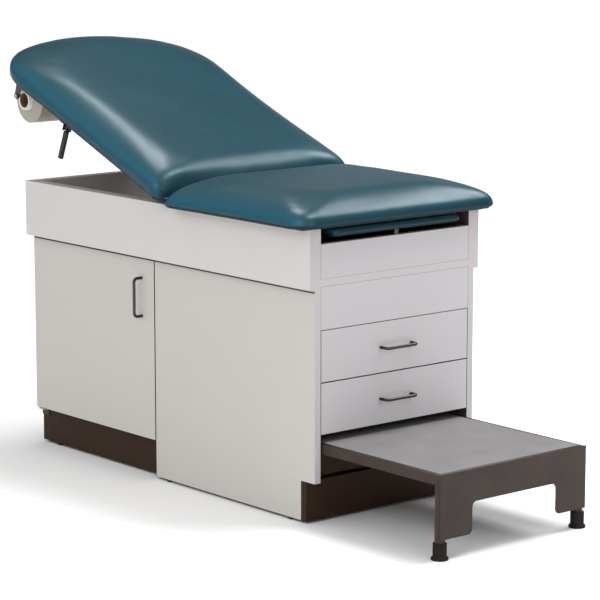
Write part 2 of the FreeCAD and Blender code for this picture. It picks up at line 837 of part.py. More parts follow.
def cushion(low, high, side_slope, end_slope, x_high, ends, bow, lift):
    """Loft of a cushion along its own length from the hinge pin, with lift as its lowest level.

    The hinge end leans back so that the two cushions just meet when the backrest is fully up.
    """
    wires = []
    wide = half_top.value
    slopes = (side_slope.value, d.hinge_slope.value, end_slope.value)
    for (side, hinge, end), height in roll_levels(low.value, high.value, slopes):
        level = lift + height
        lean = level * fold_slope + d.fold_clear.value
        lo, hi, half = max(d.cushion_end.value + hinge, lean), x_high - end, wide - side
        limit = 0.8 * min(half, (hi - lo) / 2)
        near_round = min(ends[0] + min(side, hinge) / 2, limit)
        far_round = min(ends[1] + min(side, end) / 2, limit)
        wires.append(rounded_wire(lo, hi, half, near_round, far_round, d.side_draw.value, bow, level))
    return Part.makeLoft(wires, True, False)


def mirrored_x(shape):
    flip = FreeCAD.Matrix()
    flip.rotateZ(math.pi)
    return shape.transformGeometry(flip)


def seat():
    x_end = x_foot + d.seat_over
    board = box("seat_board", (hinge_x + d.board_end, x_end - d.board_in),
                (d.board_in - half_top, half_top - d.board_in), (z_top, z_top + d.board_thick))
    node(board, "seat_board")
    doc.recompute()
    form = cushion(d.seat_low, d.seat_high, d.seat_side_slope, d.seat_foot_slope,
                   (d.hinge_set + d.seat_over).value,
                   (d.hinge_round.value, d.corner_round.value), 0.0,
                   (d.cushion_lift - d.hinge_rise).value)
    form.translate(FreeCAD.Vector(hinge_x.value, 0, hinge_z.value))
    node(shaped("seat_cushion", form.cut(board.Shape)), "seat_cushion")


board_low = d.rest_gap - d.hinge_rise
board_high = board_low + d.board_thick


def cable_path():
    """Middle line of the release cable, in the backrest's own frame."""
    level = (board_low + d.cable_radius + d.rest_gap).value
    x_lever = -d.lever_set.value
    y_start = (d.lever_in - half_top).value + d.lever_arm.value
    bend = d.cable_bend.value
    y_side = -d.cable_side.value
    x_turn = x_lever + bend
    x_end = -(d.spring_arm - d.ear_wide).value
    nook = bend * (1 - math.sqrt(0.5))
    spots = [FreeCAD.Vector(x_lever, y_start, level), FreeCAD.Vector(x_lever, y_side - bend, level),
             FreeCAD.Vector(x_lever + nook, y_side - nook, level), FreeCAD.Vector(x_turn, y_side, level),
             FreeCAD.Vector(x_end, y_side, level)]
    return spots


def backrest():
    spots = cable_path()
    x_tip = -(d.back_length - d.board_in).value
    half = (half_top - d.board_in).value
    low = board_low.value
    rim = rounded_wire(d.board_end.value, -x_tip, half, d.hinge_round.value / 2,
                       (d.back_round - d.board_in).value, 0.0, d.back_bow.value, low)
    slab = mirrored_x(Part.Face(rim)).extrude(FreeCAD.Vector(0, 0, d.board_thick.value))
    width = d.cable_groove.value
    deep = 2 * (d.cable_radius + d.rest_gap).value
    y_edge = -half - 1
    across = Part.makeBox(width, spots[1].y - y_edge, deep,
                          FreeCAD.Vector(spots[0].x - width / 2, y_edge, low))
    middle = FreeCAD.Vector(spots[3].x, spots[1].y, low)
    bend = d.cable_bend.value
    ring = Part.makeCylinder(bend + width / 2, deep, middle)
    ring = ring.cut(Part.makeCylinder(bend - width / 2, deep, middle))
    ring = ring.common(Part.makeBox(2 * bend, 2 * bend, deep,
                                    FreeCAD.Vector(middle.x - 2 * bend, middle.y, low)))
    along = Part.makeBox(spots[4].x - spots[3].x + width, width, deep,
                         FreeCAD.Vector(spots[3].x, spots[3].y - width / 2, low))
    board = slab.cut(across).cut(ring).cut(along)
    node(BACK.put(shaped("backrest_board", board)), "backrest_board")
    form = cushion(d.back_low, d.back_high, d.back_side_slope, d.back_head_slope, d.back_length.value,
                   (d.hinge_round.value, d.back_round.value), d.back_bow.value,
                   low + d.cushion_lift.value)
    soft = mirrored_x(form).cut(slab)
    node(BACK.put(shaped("backrest_cushion", soft)), "backrest_cushion")
    path = Part.Wire([Part.LineSegment(spots[0], spots[1]).toShape(),
                      Part.Arc(spots[1], spots[2], spots[3]).toShape(),
                      Part.LineSegment(spots[3], spots[4]).toShape()])
    ring = Part.Wire([Part.makeCircle(d.cable_radius.value, spots[0], FreeCAD.Vector(0, 1, 0))])
    node(BACK.put(shaped("release_cable", path.makePipeShell([ring], True, False))), "release_cable")


def hinge_leaf(name, side, y_mid):
    """side +1 is the seat's leaf with two knuckles, -1 the backrest's with the middle one."""
    plate_in = d.board_end - d.leaf_thick
    low = -d.hinge_rise if side > 0 else board_low
    high = low + d.board_thick

    def reach(lo, hi):
        return (lo, hi) if side > 0 else (-hi, -lo)

    half = d.leaf_width / 2
    step_y = d.knuckle_length
    starts = (-1.5 * step_y, 0.5 * step_y) if side > 0 else (-0.5 * step_y,)
    parts = [box(name + "_plate", reach(plate_in, d.board_end), (y_mid - half, y_mid + half), (low, high))]
    bores = []
    for index, start in enumerate(starts):
        y0 = y_mid + start + d.knuckle_gap / 2
        length = step_y - d.knuckle_gap
        thick = d.leaf_thick / 2
        parts.append(box(f"{name}_tongue{index}", reach(ZERO, plate_in), (y0, y0 + length), (-thick, thick)))
        parts.append(rod(f"{name}_knuckle{index}", d.knuckle_radius, "y", (ZERO, y0, ZERO), length))
        bores.append(rod(f"{name}_bore{index}", d.pin_radius + d.pin_clear, "y",
                         (ZERO, y0 - 1, ZERO), length + 2))
    hole = bores[0] if len(bores) == 1 else fuse(name + "_bores", bores)
    return cut(name, fuse(name + "_solid", parts), hole)


def hinges():
    seat_leaves = []
    back_leaves = []
    pins = []
    for index, y_mid in enumerate((-d.leaf_spread, d.leaf_spread)):
        seat_leaves.append(hinge_leaf(f"seat_leaf{index}", 1, y_mid))
        back_leaves.append(hinge_leaf(f"back_leaf{index}", -1, y_mid))
        length = 3 * d.knuckle_length
        pins.append(rod(f"hinge_pin{index}", d.pin_radius, "y", (hinge_x, y_mid - length / 2, hinge_z), length))
    frame = Frame(hinge_x, hinge_z)
    node(frame.put(group("seat_hinge_leaves", seat_leaves)), "seat_hinge_leaves")
    node(BACK.put(group("backrest_hinge_leaves", back_leaves)), "backrest_hinge_leaves")
    node(group("hinge_pins", pins), "hinge_pins")


foot_pin_x = hinge_x - d.spring_arm * cosine(d.spring_foot_angle)
foot_pin_z = hinge_z - d.spring_arm * sine(d.spring_foot_angle)
head_pin_x = -d.spring_arm * cosine(d.spring_head_angle)
head_pin_z = -d.spring_arm * sine(d.spring_head_angle)
lean = (d.spring_foot_angle + d.spring_head_angle - d.rest_angle) / 2
spring_half_angle = (d.spring_foot_angle - d.spring_head_angle + d.rest_angle) / 2
spring_length = 2 * d.spring_arm * sine(spring_half_angle)
SPRING = Frame(foot_pin_x, foot_pin_z, -lean)


def eye(name, z_mid):
    ring = rod(name + "_ring", d.eye_radius, "y", (ZERO, -d.eye_width / 2, z_mid), d.eye_width)
    hole = rod(name + "_hole", d.eye_pin + d.pin_clear, "y", (ZERO, -d.eye_width, z_mid), 2 * d.eye_width)
    return ring, hole


def gas_spring():
    ring, hole = eye("spring_foot_eye", ZERO)
    neck = d.eye_pin + d.ear_thick
    bore_low = d.spring_neck + d.ear_thick * 2
    bore_high = d.spring_body - d.spring_guide
    throat = d.spring_rod + d.pin_clear
    tube = revolved("spring_tube", [
        (0, ZERO), (neck, ZERO), (neck, d.spring_neck), (d.spring_radius, d.spring_neck),
        (d.spring_radius, d.spring_body), (throat, d.spring_body), (throat, bore_high),
        (d.spring_bore, bore_high), (d.spring_bore, bore_low), (0, bore_low)])
    solid = cut("gas_cylinder", fuse("spring_cylinder_solid", [tube, ring]), hole)
    node(SPRING.put(solid), "gas_cylinder")
    ring, hole = eye("spring_head_eye", spring_length)
    stem_low = spring_length - d.spring_stem
    piston = d.spring_bore - d.piston_clear
    stem = revolved("spring_stem_solid", [
        (0, stem_low), (piston, stem_low), (piston, stem_low + d.piston_thick),
        (d.spring_rod, stem_low + d.piston_thick), (d.spring_rod, spring_length), (0, spring_length)])
    solid = cut("gas_rod", fuse("spring_rod_solid", [stem, ring]), hole)
    node(SPRING.put(solid), "gas_rod")


def ears(name, low, high, root, tip_x, tip_z):
    """Two ears beside a spring eye, from a base plate to round the pin, and the pin itself."""
    pieces = []
    inner = d.eye_width / 2 + d.ear_gap
    for side in (-1, 1):
        y = (inner, inner + d.ear_thick) if side > 0 else (-inner - d.ear_thick, -inner)
        pieces.append(box(f"{name}_ear{side + 1}", root[0], y, root[1]))
    wide = inner + d.ear_thick + d.ear_over
    pieces.append(box(name + "_base", low, (-wide, wide), high))
    solid = fuse(name + "_solid", pieces)
    reach = inner + d.ear_thick
    hole = rod(name + "_hole", d.eye_pin, "y", (tip_x, -reach - 1, tip_z), 2 * reach + 2)
    pin = rod(name + "_pin", d.eye_pin, "y", (tip_x, -reach, tip_z), 2 * reach)
    return group(name, [cut(name + "_cut", solid, hole), pin])


def spring_brackets():
    half = d.ear_wide / 2
    plate = (x_partition - d.ear_thick, x_partition)
    z_span = (foot_pin_z - half, foot_pin_z + half)
    bracket = ears("spring_foot_bracket", plate, z_span, ((foot_pin_x - d.ear_over, x_partition), z_span),
                   foot_pin_x, foot_pin_z)
    node(bracket, "spring_foot_bracket")
    x_span = (head_pin_x - half, head_pin_x + half)
    plate = (board_low - d.ear_thick, board_low)
    bracket = ears("spring_head_bracket", x_span, plate, (x_span, (head_pin_z - d.ear_over, board_low)),
                   head_pin_x, head_pin_z)
    node(BACK.put(bracket), "spring_head_bracket")


lever_y = (d.lever_in - half_top)
lever_z = board_low - d.lever_drop


def release_lever():
    x = -d.lever_set
    half = d.lever_width / 2
    eye_part = rod("lever_eye_ring", d.lever_eye, "x", (x - half, lever_y, lever_z), d.lever_width)
    stem = rod("lever_stem", d.lever_rod, "z", (x, lever_y, lever_z - d.lever_length), d.lever_length)
    thick = d.lever_rod - d.ear_gap
    arm = box("lever_arm_plate", (x - thick, x + thick), (lever_y - thick, lever_y + thick),
              (lever_z, lever_z + d.lever_arm))
    hole = rod("lever_hole", d.pin_radius + d.pin_clear, "x", (x - d.lever_width, lever_y, lever_z),
               2 * d.lever_width)
    lever = cut("release_lever", fuse("lever_solid", [eye_part, stem, arm]), hole)
    node(BACK.put(lever), "release_lever")
    grip_top = lever_z - d.grip_start
    tip_z = lever_z - d.lever_length - d.lever_rod
    sleeve = rod("grip_sleeve", d.grip_radius, "z", (x, lever_y, tip_z), grip_top - tip_z)
    core = rod("grip_core", d.lever_rod, "z", (x, lever_y, lever_z - d.lever_length), d.lever_length)
    node(BACK.put(cut("release_grip", sleeve, core)), "release_grip")
    pieces = []
    ear_in = half + d.ear_gap
    eye_wide = d.lever_eye + d.ear_thick
    for side in (-1, 1):
        lo, hi = ear_in, ear_in + d.ear_thick
        span = (x + lo, x + hi) if side > 0 else (x - hi, x - lo)
        plate = box(f"lever_ear{side + 1}", span, (lever_y - eye_wide, lever_y + eye_wide),
                    (lever_z - eye_wide, board_low))
        lo, hi = ear_in, ear_in + d.tab_flange
        span = (x + lo, x + hi) if side > 0 else (x - hi, x - lo)
        flange = box(f"lever_flange{side + 1}", span, (lever_y - eye_wide, lever_y + eye_wide),
                     (board_low - d.ear_thick, board_low))
        solid = fuse(f"lever_ear_solid{side + 1}", [plate, flange])
        bore = rod(f"lever_ear_bore{side + 1}", d.pin_radius, "x", (x - 2 * d.lever_width, lever_y, lever_z),
                   4 * d.lever_width)
        pieces.append(cut(f"lever_ear_cut{side + 1}", solid, bore))
    reach = ear_in + d.ear_thick
    pieces.append(rod("lever_pin", d.pin_radius, "x", (x - reach, lever_y, lever_z), 2 * reach))
    node(BACK.put(group("release_bracket", pieces)), "release_bracket")


roll_set = d.back_length - d.roll_from_end
roll_x, roll_z = BACK.world(-roll_set, -d.roll_drop)
roll_y = -(d.roll_width + d.roll_shift) / 2
rod_rise = d.core_bore - d.roll_rod - d.rod_clear


def paper_roll():
    """A roll whose inner windings have slipped towards the door side."""
    width = d.roll_width
    shift = d.roll_shift
    step = d.roll_step
    lip = d.roll_inner + d.roll_lip
    paper = revolved("paper_roll", [
        (d.core_radius, 0), (d.roll_inner, 0), (lip, step), (d.roll_radius, shift),
        (d.roll_radius, shift + width), (lip, step + width), (d.roll_inner, width), (d.core_radius, width)])
    core = revolved("paper_core", [
        (d.core_bore, 0), (d.core_radius, 0), (d.core_radius, width), (d.core_bore, width)])
    for body, label in ((paper, "paper_roll"), (core, "paper_core")):
        body.Placement = FreeCAD.Placement(FreeCAD.Vector(), TURN["y"])
        bind(body, "Placement.Base.x", roll_x)
        bind(body, "Placement.Base.y", roll_y)
        bind(body, "Placement.Base.z", roll_z)
        node(body, label)
    tab_in = -roll_y + d.tab_gap
    reach = tab_in + d.tab_thick
    spindle = rod("roll_rod", d.roll_rod, "y", (roll_x, -reach, roll_z + rod_rise), 2 * reach)
    node(spindle, "roll_rod")
    roll_brackets(tab_in)


def roll_brackets(tab_in):
    pin_x = -roll_set - rod_rise * sine(d.rest_angle)
    pin_z = rod_rise * cosine(d.rest_angle) - d.roll_drop
    root = d.tab_root / 2
    brackets = []
    for side in (-1, 1):
        lo, hi = tab_in, tab_in + d.tab_thick
        y = (lo, hi) if side > 0 else (-hi, -lo)
        body, pad = padded(f"roll_tab{side + 1}", "XZ_Plane", [
            (pin_x - d.tab_end, pin_z), (pin_x + d.tab_end, pin_z), (pin_x + root, board_low),
            (pin_x - root, board_low)], d.tab_thick)
        bind(body, "Placement.Base.y", y[1])
        tip = rod(f"roll_tab_tip{side + 1}", d.tab_end, "y", (pin_x, y[0], pin_z), d.tab_thick)
        lo, hi = tab_in, tab_in + d.tab_flange
        flange_y = (lo, hi) if side > 0 else (-hi, -lo)
        flange = box(f"roll_tab_flange{side + 1}", (pin_x - root, pin_x + root), flange_y,
                     (board_low - d.tab_thick, board_low))
        solid = fuse(f"roll_tab_solid{side + 1}", [body, tip, flange])
        hole = rod(f"roll_tab_hole{side + 1}", d.roll_rod, "y", (pin_x, y[0] - 1, pin_z), d.tab_thick + 2)
        brackets.append(cut(f"roll_bracket{side + 1}", solid, hole))
    node(BACK.put(group("roll_brackets", brackets)), "roll_brackets")


side_panels()
cabinet_boards()
floor_glides()
door()
door_pivots()
drawers()
leg_rest()
step()
seat()
backrest()
hinges()
gas_spring()
spring_brackets()
release_lever()
paper_roll()
doc.recompute()

faults = []
for obj in doc.Objects:
    if "Invalid" in obj.State or "Error" in obj.State:
        faults.append(f"{obj.Label}: {obj.State}")
for obj in nodes:
    if obj.Shape.isNull() or not obj.Shape.isValid() or not obj.Shape.Solids:
        faults.append(f"{obj.Label}: no valid solid")
if faults:
    raise RuntimeError("; ".join(faults))

os.makedirs("parts", exist_ok=True)
for obj in nodes:
    obj.Shape.exportStep(os.path.join("parts", obj.Label + ".step"))
print(len(nodes), "sub-parts written")
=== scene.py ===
import math

import bmesh
import bpy
from mathutils import Matrix, Vector, noise


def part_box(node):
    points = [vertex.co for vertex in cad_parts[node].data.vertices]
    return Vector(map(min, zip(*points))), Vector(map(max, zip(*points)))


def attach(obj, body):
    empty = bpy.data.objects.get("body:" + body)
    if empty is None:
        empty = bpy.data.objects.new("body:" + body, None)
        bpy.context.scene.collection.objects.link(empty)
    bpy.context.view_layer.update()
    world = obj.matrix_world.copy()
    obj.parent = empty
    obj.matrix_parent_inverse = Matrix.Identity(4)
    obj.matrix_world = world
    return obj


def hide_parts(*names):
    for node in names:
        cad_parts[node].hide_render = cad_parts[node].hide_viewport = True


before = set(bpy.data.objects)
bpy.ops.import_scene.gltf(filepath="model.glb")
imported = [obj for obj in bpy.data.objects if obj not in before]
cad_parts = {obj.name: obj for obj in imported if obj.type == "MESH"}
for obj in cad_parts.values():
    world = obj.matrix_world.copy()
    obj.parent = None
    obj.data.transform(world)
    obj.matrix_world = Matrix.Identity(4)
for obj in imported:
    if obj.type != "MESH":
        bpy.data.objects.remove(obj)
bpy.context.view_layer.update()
scene = bpy.context.scene

# Sizes repeated from the part, in metres.
HINGE_SET = 0.540
HINGE_Z = 0.751
REST_ANGLE = math.radians(21.8)
TOP_HALF = 0.336
SEAT_OVER = 0.032
CUSHION_END = 0.0079
FOLD_SLOPE = math.tan(math.radians(30))
FOLD_CLEAR = 0.0008
BACK_LENGTH = 0.893
BOARD_LOW = -0.0085
TABLE_TOP = 0.742

X_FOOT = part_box("upper_drawer_front")[1][0]
HINGE_X = X_FOOT - HINGE_SET


def back_point(s, y, n):
    """A point of the backrest: s from the hinge towards the head, n up from the hinge line."""
    across = math.cos(REST_ANGLE)
    rise = math.sin(REST_ANGLE)
    return Vector((HINGE_X - across * s + rise * n, y, HINGE_Z + rise * s + across * n))


# Camera at the photograph's viewing angle
CAMERA_AZIMUTH = math.radians(50.01)
CAMERA_RISE = math.radians(9.95)
CAMERA_DISTANCE = 6.744
CAMERA_TARGET = Vector((X_FOOT - 0.373, 0.0, 0.488))
CAMERA_LENS = 155.34


def linked(name, data):
    """A new object of the scene with this data."""
    obj = bpy.data.objects.new(name, data)
    scene.collection.objects.link(obj)
    return obj


def add_camera():
    data = bpy.data.cameras.new("camera")
    data.lens = CAMERA_LENS
    data.sensor_width = 36.0
    data.clip_end = 60.0
    camera = linked("camera", data)
    flat = math.cos(CAMERA_RISE)
    across = math.sin(CAMERA_AZIMUTH) * flat
    back = math.cos(CAMERA_AZIMUTH) * flat
    away = Vector((across, -back, math.sin(CAMERA_RISE)))
    camera.location = CAMERA_TARGET + away * CAMERA_DISTANCE
    camera.rotation_euler = away.to_track_quat("Z", "Y").to_euler()
    scene.camera = camera


def area_light(name, place, target, size, power):
    data = bpy.data.lights.new(name, "AREA")
    data.shape = "RECTANGLE"
    data.size = size[0]
    data.size_y = size[1]
    data.energy = power
    light = linked(name, data)
    light.location = place
    aim = Vector(place) - Vector(target)
    light.rotation_euler = aim.to_track_quat("Z", "Y").to_euler()


# The sky is brightest towards SKY_AIM; the floor shows paler beyond GLOW_START from the table's middle.
SKY_AIM = (0.36, -0.60, 0.715)
SKY_FROM = -0.1
SKY_TO = 0.85
SKY_LOW = 0.12
SKY_HIGH = 0.98
FLOOR_REACH = 70.0
GLOW_START = 0.9
GLOW_END = 2.8
GLOW = 0.44


def add_floor():
    mesh = bpy.data.meshes.new("floor")
    corners = [(x * FLOOR_REACH, y * FLOOR_REACH, 0) for x, y in ((-1, -1), (1, -1), (1, 1), (-1, 1))]
    mesh.from_pydata(corners, [], [(0, 1, 2, 3)])
    floor = linked("floor", mesh)
    mat = bpy.data.materials.new("floor")
    mat.use_nodes = True
    shader = mat.node_tree.nodes["Principled BSDF"]
    shader.inputs["Base Color"].default_value = (0.93, 0.93, 0.93, 1)
    shader.inputs["Roughness"].default_value = 0.9
    shader.inputs["Specular IOR Level"].default_value = 0.1
    shader.inputs["Emission Color"].default_value = (1, 1, 1, 1)
    nodes = mat.node_tree.nodes
    links = mat.node_tree.links
    spot = nodes.new("ShaderNodeTexCoord")
    away = nodes.new("ShaderNodeVectorMath")
    away.operation = "LENGTH"
    fade = nodes.new("ShaderNodeMapRange")
    fade.inputs["From Min"].default_value = GLOW_START
    fade.inputs["From Max"].default_value = GLOW_END
    fade.inputs["To Max"].default_value = GLOW
    links.new(spot.outputs["Object"], away.inputs[0])
    links.new(away.outputs["Value"], fade.inputs["Value"])
    rays = nodes.new("ShaderNodeLightPath")
    seen = rays.outputs["Is Camera Ray"]
    for kind in ("Is Glossy Ray", "Is Transmission Ray"):
        either = nodes.new("ShaderNodeMath")
        either.operation = "MAXIMUM"
        links.new(seen, either.inputs[0])
        links.new(rays.outputs[kind], either.inputs[1])
        seen = either.outputs["Value"]
    shown = nodes.new("ShaderNodeMath")
    shown.operation = "MULTIPLY"
    links.new(fade.outputs["Result"], shown.inputs[0])
    links.new(seen, shown.inputs[1])
    links.new(shown.outputs["Value"], shader.inputs["Emission Strength"])
    mesh.materials.append(mat)


def add_sky():
    world = bpy.data.worlds.new("studio")
    world.use_nodes = True
    nodes = world.node_tree.nodes
    links = world.node_tree.links
    sky = nodes["Background"]
    where = nodes.new("ShaderNodeTexCoord")
    lean = nodes.new("ShaderNodeVectorMath")
    lean.operation = "DOT_PRODUCT"
    lean.inputs[1].default_value = SKY_AIM
    ramp = nodes.new("ShaderNodeMapRange")
    ramp.inputs["From Min"].default_value = SKY_FROM
    ramp.inputs["From Max"].default_value = SKY_TO
    ramp.inputs["To Min"].default_value = SKY_LOW
    ramp.inputs["To Max"].default_value = SKY_HIGH
    links.new(where.outputs["Generated"], lean.inputs[0])
    links.new(lean.outputs["Value"], ramp.inputs["Value"])
    links.new(ramp.outputs["Result"], sky.inputs["Strength"])
    sky.inputs["Color"].default_value = (1.0, 1.0, 1.0, 1)
    scene.world = world
    scene.view_settings.view_transform = "Standard"


def add_lights():
    middle = (0.0, 0.0, 0.6)
    area_light("key", (1.2, -3.8, 3.0), middle, (2.4, 1.6), 42)
    area_light("front", (4.4, 0.2, 2.4), middle, (1.6, 1.6), 21)
    area_light("top", (1.1, 0.9, 3.6), (0.5, -0.1, 0.2), (1.2, 1.2), 70)
    area_light("over_head", (-1.12, 0.42, 3.12), (-0.4, -0.3, 0.9), (0.7, 0.5), 24)
    area_light("over_back", (0.35, 2.6, 3.1), (0.3, 0.0, 0.8), (2.2, 0.8), 66)
    area_light("low_back", (-2.6, 2.4, 1.3), (0.0, 0.0, 0.8), (2.6, 1.0), 2.5)


# Materials


def linear(red, green, blue):
    """A display tone, 0 to 255, as a linear colour."""
    out = []
    for value in (red, green, blue):
        share = value / 255.0
        out.append(share / 12.92 if share <= 0.04045 else ((share + 0.055) / 1.055) ** 2.4)
    return (*out, 1.0)


def dimmed(shade, share):
    """A tone made darker, or lighter with a share above 1."""
    return (*(value * share for value in shade[:3]), 1.0)


class Paint:
    """A material under construction: its nodes, its shader and its object coordinates."""

    def __init__(self, name):
        self.mat = bpy.data.materials.new(name)
        self.mat.use_nodes = True
        self.nodes = self.mat.node_tree.nodes
        self.links = self.mat.node_tree.links
        self.shader = self.nodes["Principled BSDF"]
        self.coords = self.nodes.new("ShaderNodeTexCoord")

    def place(self, stretch=(1, 1, 1), shift=(0, 0, 0)):
        mapping = self.nodes.new("ShaderNodeMapping")
        mapping.inputs["Scale"].default_value = stretch
        mapping.inputs["Location"].default_value = shift
        self.links.new(self.coords.outputs["Object"], mapping.inputs["Vector"])
        return mapping.outputs["Vector"]

    def noise(self, scale, detail, rough=0.5, vector=None):
        node = self.nodes.new("ShaderNodeTexNoise")
        node.inputs["Scale"].default_value = scale
        node.inputs["Detail"].default_value = detail
        node.inputs["Roughness"].default_value = rough
        self.links.new(vector or self.coords.outputs["Object"], node.inputs["Vector"])
        return node.outputs["Fac"]

    def cells(self, scale):
        node = self.nodes.new("ShaderNodeTexVoronoi")
        node.inputs["Scale"].default_value = scale
        self.links.new(self.coords.outputs["Object"], node.inputs["Vector"])
        return node.outputs["Distance"]

    def wave(self, scale, direction="X", kind="BANDS", warp=0.0, vector=None):
        node = self.nodes.new("ShaderNodeTexWave")
        node.wave_type = kind
        if kind == "BANDS":
            node.bands_direction = direction
        else:
            node.rings_direction = direction
        node.inputs["Scale"].default_value = scale
        node.inputs["Distortion"].default_value = warp
        self.links.new(vector or self.coords.outputs["Object"], node.inputs["Vector"])
        return node.outputs["Fac"]

    def spread(self, value, low, high, from_low=0.0, from_high=1.0):
        node = self.nodes.new("ShaderNodeMapRange")
        node.inputs["From Min"].default_value = from_low
        node.inputs["From Max"].default_value = from_high
        node.inputs["To Min"].default_value = low
        node.inputs["To Max"].default_value = high
        self.links.new(value, node.inputs["Value"])
        return node.outputs["Result"]

    def sums(self, how, first, second):
        node = self.nodes.new("ShaderNodeMath")
        node.operation = how
        for socket, value in zip(node.inputs, (first, second)):
            if isinstance(value, (int, float)):
                socket.default_value = value
            else:
                self.links.new(value, socket)
        return node.outputs["Value"]

    def mix(self, share, first, second):
        node = self.nodes.new("ShaderNodeMix")
        node.data_type = "RGBA"
        self.links.new(share, node.inputs["Factor"])
        for name, value in (("A", first), ("B", second)):
            socket = [s for s in node.inputs if s.name == name and s.type == "RGBA"][0]
            if isinstance(value, tuple):
                socket.default_value = value
            else:
                self.links.new(value, socket)
        return [s for s in node.outputs if s.type == "RGBA"][0]

    def blotch(self, value, first, second):
        """Two tones shading into each other over a noise or a grain."""
        return self.mix(self.spread(value, 0.0, 1.0, 0.3, 0.7), first, second)

    def colour(self, value):
        self.links.new(value, self.shader.inputs["Base Color"])

    def rough(self, value):
        self.links.new(value, self.shader.inputs["Roughness"])

    def bump(self, height, depth, strength):
        node = self.nodes.new("ShaderNodeBump")
        node.inputs["Distance"].default_value = depth
        node.inputs["Strength"].default_value = strength
        self.links.new(height, node.inputs["Height"])
        self.links.new(node.outputs["Normal"], self.shader.inputs["Normal"])

    def plain(self, **values):
        for name, value in values.items():
            self.shader.inputs[name.replace("_", " ")].default_value = value

    def toward(self, axis):
        """The surface normal's part along an axis of its own object, -1 to 1."""
        split = self.nodes.new("ShaderNodeSeparateXYZ")
        self.links.new(self.coords.outputs["Normal"], split.inputs["Vector"])
        return split.outputs[axis]

    def facing(self, axis):
        """How squarely the surface faces along an axis of its own object, 0 to 1, either way."""
        return self.sums("ABSOLUTE", self.toward(axis), 0.0)

    def along(self, axis, vector=None):
        """One coordinate of the object's own space."""
        split = self.nodes.new("ShaderNodeSeparateXYZ")
        self.links.new(vector or self.coords.outputs["Object"], split.inputs["Vector"])
        return split.outputs[axis]

    def apart(self, axis, place):
        """Distance from a plane across one axis of the object's own space."""
        return self.sums("ABSOLUTE", self.sums("SUBTRACT", self.along(axis), place), 0.0)

    def upright(self):
        """1 on faces turned to the near or the far side, 0 on others."""
        return self.spread(self.facing("Y"), 0.0, 1.0, 0.5, 0.9)

    def past_hinge(self):
        """1 under the seat, where the leg rest has its slot, 0 under the backrest."""
        return self.spread(self.along("X"), 0.0, 1.0, HINGE_X + 0.06, HINGE_X + 0.07)


def vinyl():
    p = Paint("vinyl_teal")
    cloud = p.noise(5.0, 2.0)
    fine = p.noise(120.0, 3.0)
    base = p.blotch(cloud, linear(11, 51, 62), linear(15, 57, 69))
    base = p.mix(p.spread(fine, 0.0, 0.5, 0.4, 0.7), base, linear(9, 45, 56))
    # Painted shade: faces turned level or down are darker, the downturned ones most.
    painted_low_shade = p.spread(p.toward("Z"), 1.0, 0.0, -0.2, 0.4)
    base = p.mix(painted_low_shade, base, linear(7, 31, 39))
    # Painted light: the near and far sides of the cover are a lighter, bluer teal, as if lit from the side.
    painted_flank_light = p.sums("MULTIPLY", p.spread(p.facing("Y"), 0.0, 1.0, 0.35, 0.85),
                   p.spread(p.toward("Z"), 0.0, 1.0, -0.2, 0.25))
    p.colour(p.mix(painted_flank_light, base, linear(18, 78, 96)))
    below = p.spread(p.toward("Z"), 0.45, 0.0, -0.5, -0.05)
    p.rough(p.sums("ADD", p.spread(p.noise(26.0, 3.0), 0.33, 0.39), below))
    grain = p.sums("ADD", p.cells(620.0), p.sums("MULTIPLY", p.noise(900.0, 2.0), 0.4))
    p.bump(grain, 0.0002, 0.35)
    p.plain(Specular_IOR_Level=0.45, Specular_Tint=(0.62, 0.85, 0.96, 1.0))
    return p.mat


# Painted shade of the slot under the seat, inside the cabinet.
SLOT_SHADE = linear(78, 65, 61)
# Painted shadow for thin lines in gaps and under overhangs.
GAP_SHADOW = linear(48, 43, 42)


